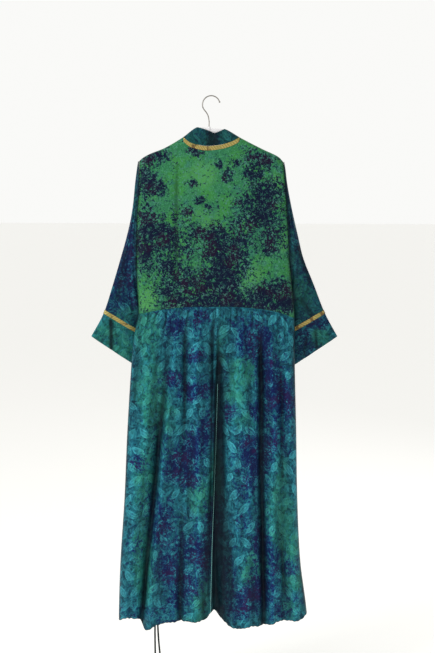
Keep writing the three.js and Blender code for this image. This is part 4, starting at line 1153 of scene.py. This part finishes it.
# ---------- sleeves ----------
def sleeve_at(hand, u, place):
    column, mirror = HAND[hand], SIGN[hand]
    outer_z = read(SLEEVE_ROWS, 3, place)
    outer = np.stack([read(SLEEVE_OUTER, column, outer_z), read(SLEEVE_OUTER, 3, outer_z), outer_z], -1)
    z = mix(SHOULDER_END, UNDERARM, place)
    clear = 2.8 * SEAM + 0.8 * (2 * place - 1) ** 4
    upper = np.stack([read(BODY, column, z) + mirror * clear, 0 * z, z], -1)
    lower = np.stack([read(SLEEVE_ROWS, k, place) for k in (column, 4, 5)], -1)
    on_arm = place <= 1
    inner = np.where(on_arm[..., None], upper, lower)
    share = 1 - np.abs(u)
    edge = np.where(
        on_arm, np.maximum(armhole(inner[..., 2]), mix(SLEEVE_TOP, SLEEVE_FOLD, place)), SLEEVE_FOLD
    )
    room = ease(np.linalg.norm(inner - outer, axis=-1) / 20)
    turn = mix(ease(2 * share), np.sqrt(1 - (1 - share) ** 4), ease(4 * place - 3))
    section = mix(np.sqrt(1 - share), np.sqrt(1 - share**4), room)
    p = mix(inner, outer, share[..., None])
    side = np.sign(u)
    p[..., 1] += side * mix(edge, SLEEVE_HALF, room * turn) * section
    loose = ease((place - 0.2) / 0.5) * ease(share / 0.3) * ease((1 - share) / 0.25)
    wave = np.sin(TURN * (share * 2.6 + place * 0.35) + side) + 0.5 * np.sin(
        TURN * (share * 5.3 - place * 0.8) + 2 * side
    )
    drag = 0.5 * np.sin(TURN * (place * 3.1 + share * 1.2))
    p[..., 1] += side * loose * (1.2 * wave + drag)
    return p


def sleeve_normal(hand, u, place):
    small = 1e-4
    after, before = np.minimum(1, u + small), np.maximum(-1, u - small)
    around = sleeve_at(hand, after, place) - sleeve_at(hand, before, place)
    along = sleeve_at(hand, u, place + small) - sleeve_at(hand, u, np.maximum(0, place - small))
    return unit(np.cross(around, along)) * -SIGN[hand]


half_columns = finer(SLEEVE_COLUMNS, [3, 4, 6, 8, 8, 6, 4])
sleeve_columns = np.concatenate([half_columns, -half_columns[-2::-1]])


def tube(name, hand, places, thick, out=0, closed=0, **more):
    return wall(
        name, lambda u, v: sleeve_at(hand, u, v), lambda u, v: sleeve_normal(hand, u, v),
        sleeve_columns, places, thick, out, closed, **more,
    )


def place_of(row):
    z = row_height(np.array(row), np.array(-198.0), np.array(float(SHOULDER_END)), WAIST[0][1])
    return float(clamp01((SHOULDER_END - z) / (SHOULDER_END - UNDERARM)))


arm_places = finer([place_of(row) for row in range(TOP_ROWS + len(TO_UNDERARM) + 1)], ROW_PARTS[:-3])
cuff_ribbons = {}
for hand in HAND:
    places = [*arm_places, *evenly(90, 1, 2)[1:]]
    sleeve = tube(
        "silk_sleeve_" + hand, hand, places, CLOTH, closed=len(arm_places) - 1, stains=sleeve_stains,
        place=(3 + SIGN[hand] * 0.3, 0.2),
    )
    cuff = tube(
        "silk_cuff_" + hand, hand, evenly(30, 2 + CUFF_GAP, 3), CLOTH, stains=cuff_stains,
        place=(4 + SIGN[hand] * 0.3, 0.1),
    )
    ribbon = tube(
        "ribbon_cuff_" + hand, hand, evenly(6, 2 - RIBBON_SHARE, 2), RIBBON, ON_CLOTH, stains=ribbon_stains,
    )
    dress(sleeve, PRINT, "print_silk", "sleeve_" + hand)
    dress(cuff, PRINT, "print_silk", "cuff_" + hand)
    dress(ribbon, GOLD, "ribbon", "cuff_ribbon_" + hand)
    cuff_ribbons[hand] = ribbon

bpy.context.view_layer.update()


# ---------- hanger ----------
def hanger_body():
    xs = np.linspace(HANGER["from"], HANGER["to"], 160)
    to_end = np.minimum(xs - HANGER["from"], HANGER["to"] - xs)
    size = np.sqrt(1 - (1 - clamp01((to_end + 1) / 12)) ** 2)
    angles = circle(28)
    middle = shoulder(xs) - HANGER["below"] - HANGER["high"] / 2
    y = np.outer(size, np.cos(angles)) * HANGER["thick"] / 2
    z = middle[:, None] + np.outer(size, np.sin(angles)) * HANGER["high"] / 2
    points = np.stack([np.broadcast_to(xs[:, None], y.shape), y, z], -1)
    ids = np.arange(points[..., 0].size).reshape(y.shape)
    nxt = np.roll(ids, -1, 1)
    quads = np.stack([ids[:-1], nxt[:-1], nxt[1:], ids[1:]], -1).reshape(-1, 4)[:, ::-1].tolist()
    quads += [ids[0].tolist(), ids[-1, ::-1].tolist()]
    return new_mesh("hanger_arms", points.reshape(-1, 3), quads)


def hanger_hub():
    top = float(shoulder(HANGER["hub_x"])) + 2
    heights = [-20, -19.5, -3, -1.2, -0.4, 0, 0]
    radii = [5, 5.2, 5, 4.9, 4.5, 3.6, 1.9]
    points = [(HANGER["hub_x"], 0, top + h) for h in heights]
    return sweep("hanger_hub", points, radii, 28)


def hanger_hook():
    centre = HOOK["wire"] - HOOK["bend"]
    arc = [
        (HOOK["bend"] * math.cos(a), 0, centre + HOOK["bend"] * math.sin(a))
        for a in np.radians(np.linspace(205, HOOK["end"], 10))
    ]
    x = HANGER["hub_x"]
    low, top = HOOK["seat"] + SEAM, HOOK["stem_top"]
    stem = [(x, 0, low), (x, 0, -82), (x, 0, top), (x - 3, 0, -51), (x - 8.5, 0, -42)]
    line = smooth_line([*stem, *arc], 150)
    wire = sweep("hook_wire", line, HOOK["wire"], 16)
    end = line[-1]
    way = unit(line[-1] - line[-2])
    t = np.linspace(-0.98, 0.98, 15)
    ball = sweep("hook_ball", [end + way * HOOK["ball"] * v for v in t], HOOK["ball"] * np.sqrt(1 - t * t), 18)
    return wire, ball


dress(hanger_body(), WHITE, "plastic", "hanger_body")
dress(hanger_hub(), WHITE, "plastic")
hook_wire, hook_ball = hanger_hook()
dress(hook_wire, STEEL, "wire", "hanger_hook")
dress(hook_ball, STEEL, "wire")

# ---------- the sheets: metres across and down, and flat area ---------- These aren't known cut
# sizes. The two sleeves' are from four corners joined with straight lines and are too large. The
# widths and lengths are listed, and the skirt's back is up to 24% wider than stated.
for name, flat, area, rests, extra in (
    ("bodice_back", (0.44, 0.49), 0.1916, "hanger_body", [neck_ribbon, waist_tapes["back"]]),
    ("bodice_front_left", (0.16, 0.47), 0.0645, "hanger_body", [waist_tapes["left"]]),
    ("bodice_front_right", (0.18, 0.47), 0.0686, "hanger_body", [waist_tapes["right"]]),
    ("collar", (0.16, 0.045), 0.0056, "hanger_body", []),
    ("band_left", (0.05, 1.43), 0.0701, "silk_bodice_front_left", []),
    ("band_right", (0.05, 1.43), 0.0697, "silk_bodice_front_right", []),
    ("skirt_back_left", (0.3, 0.94), 0.2772, "silk_bodice_back", [seam_tape]),
    ("skirt_back_right", (0.32, 0.94), 0.2684, "silk_bodice_back", []),
    ("skirt_front_left", (0.23, 0.92), 0.1865, "silk_bodice_front_left", []),
    ("skirt_front_right", (0.23, 0.92), 0.181, "silk_bodice_front_right", []),
    ("sleeve_left", (0.407, 0.502), 0.064, "silk_bodice_back", [cuff_ribbons["left"]]),
    ("sleeve_right", (0.421, 0.498), 0.067, "silk_bodice_back", [cuff_ribbons["right"]]),
    ("cuff_left", (0.43, 0.085), 0.0356, "silk_sleeve_left", []),
    ("cuff_right", (0.43, 0.085), 0.0365, "silk_sleeve_right", []),
):
    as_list(extra)


# ---------- floor and light ----------
FLOOR_HALF, FLOOR_Z = 60, -1.8
AIM = (0, 0, -0.75)  # what the lamps point at
LAMPS = (("key", (-2.0, -1.5, 0.6), 0.8, 36), ("front_fill", (1.8, 1.8, 0.5), 0.9, 16))  # at, size, watts
SURROUND = (-0.6, 0.5, 0.56, 0.98)  # from and to along Y, and how bright the surround is at each


def make_stage():
    floor = bpy.data.meshes.new("floor")
    corners = [(x * FLOOR_HALF, y * FLOOR_HALF, FLOOR_Z) for x, y in ((-1, -1), (1, -1), (1, 1), (-1, 1))]
    floor.from_pydata(corners, [], [(0, 1, 2, 3)])
    floor = bpy.data.objects.new("floor", floor)
    bpy.context.scene.collection.objects.link(floor)
    w = Wires("floor")
    floor.data.materials.append(
        w.finish(srgb(244, 243, 240), 0.9, Emission_Color=(1, 1, 0.98, 1), Emission_Strength=0.2)
    )
    world = bpy.data.worlds.new("world")
    world.use_nodes = True
    tree = world.node_tree
    way = tree.nodes.new("ShaderNodeTexCoord")
    split = tree.nodes.new("ShaderNodeSeparateXYZ")
    ramp = tree.nodes.new("ShaderNodeMapRange")
    ramp.interpolation_type = "SMOOTHSTEP"
    for key, value in enumerate(SURROUND, 1):
        ramp.inputs[key].default_value = value
    back = tree.nodes["Background"]
    tree.links.new(way.outputs["Generated"], split.inputs[0])
    tree.links.new(split.outputs[1], ramp.inputs[0])
    tree.links.new(ramp.outputs[0], back.inputs[1])
    back.inputs[0].default_value = srgb(252, 252, 250)
    bpy.context.scene.world = world
    bpy.context.scene.view_settings.view_transform = "Standard"
    for name, at, size, power in LAMPS:
        data = bpy.data.lights.new(name, "AREA")
        data.size = size
        data.energy = power
        lamp = bpy.data.objects.new(name, data)
        bpy.context.scene.collection.objects.link(lamp)
        aim = np.array(AIM) - np.array(at)
        lamp.location = at
        lamp.rotation_mode = "QUATERNION"
        lamp.rotation_quaternion = Vector(aim).to_track_quat("-Z", "Y")


make_stage()
bpy.context.view_layer.update()
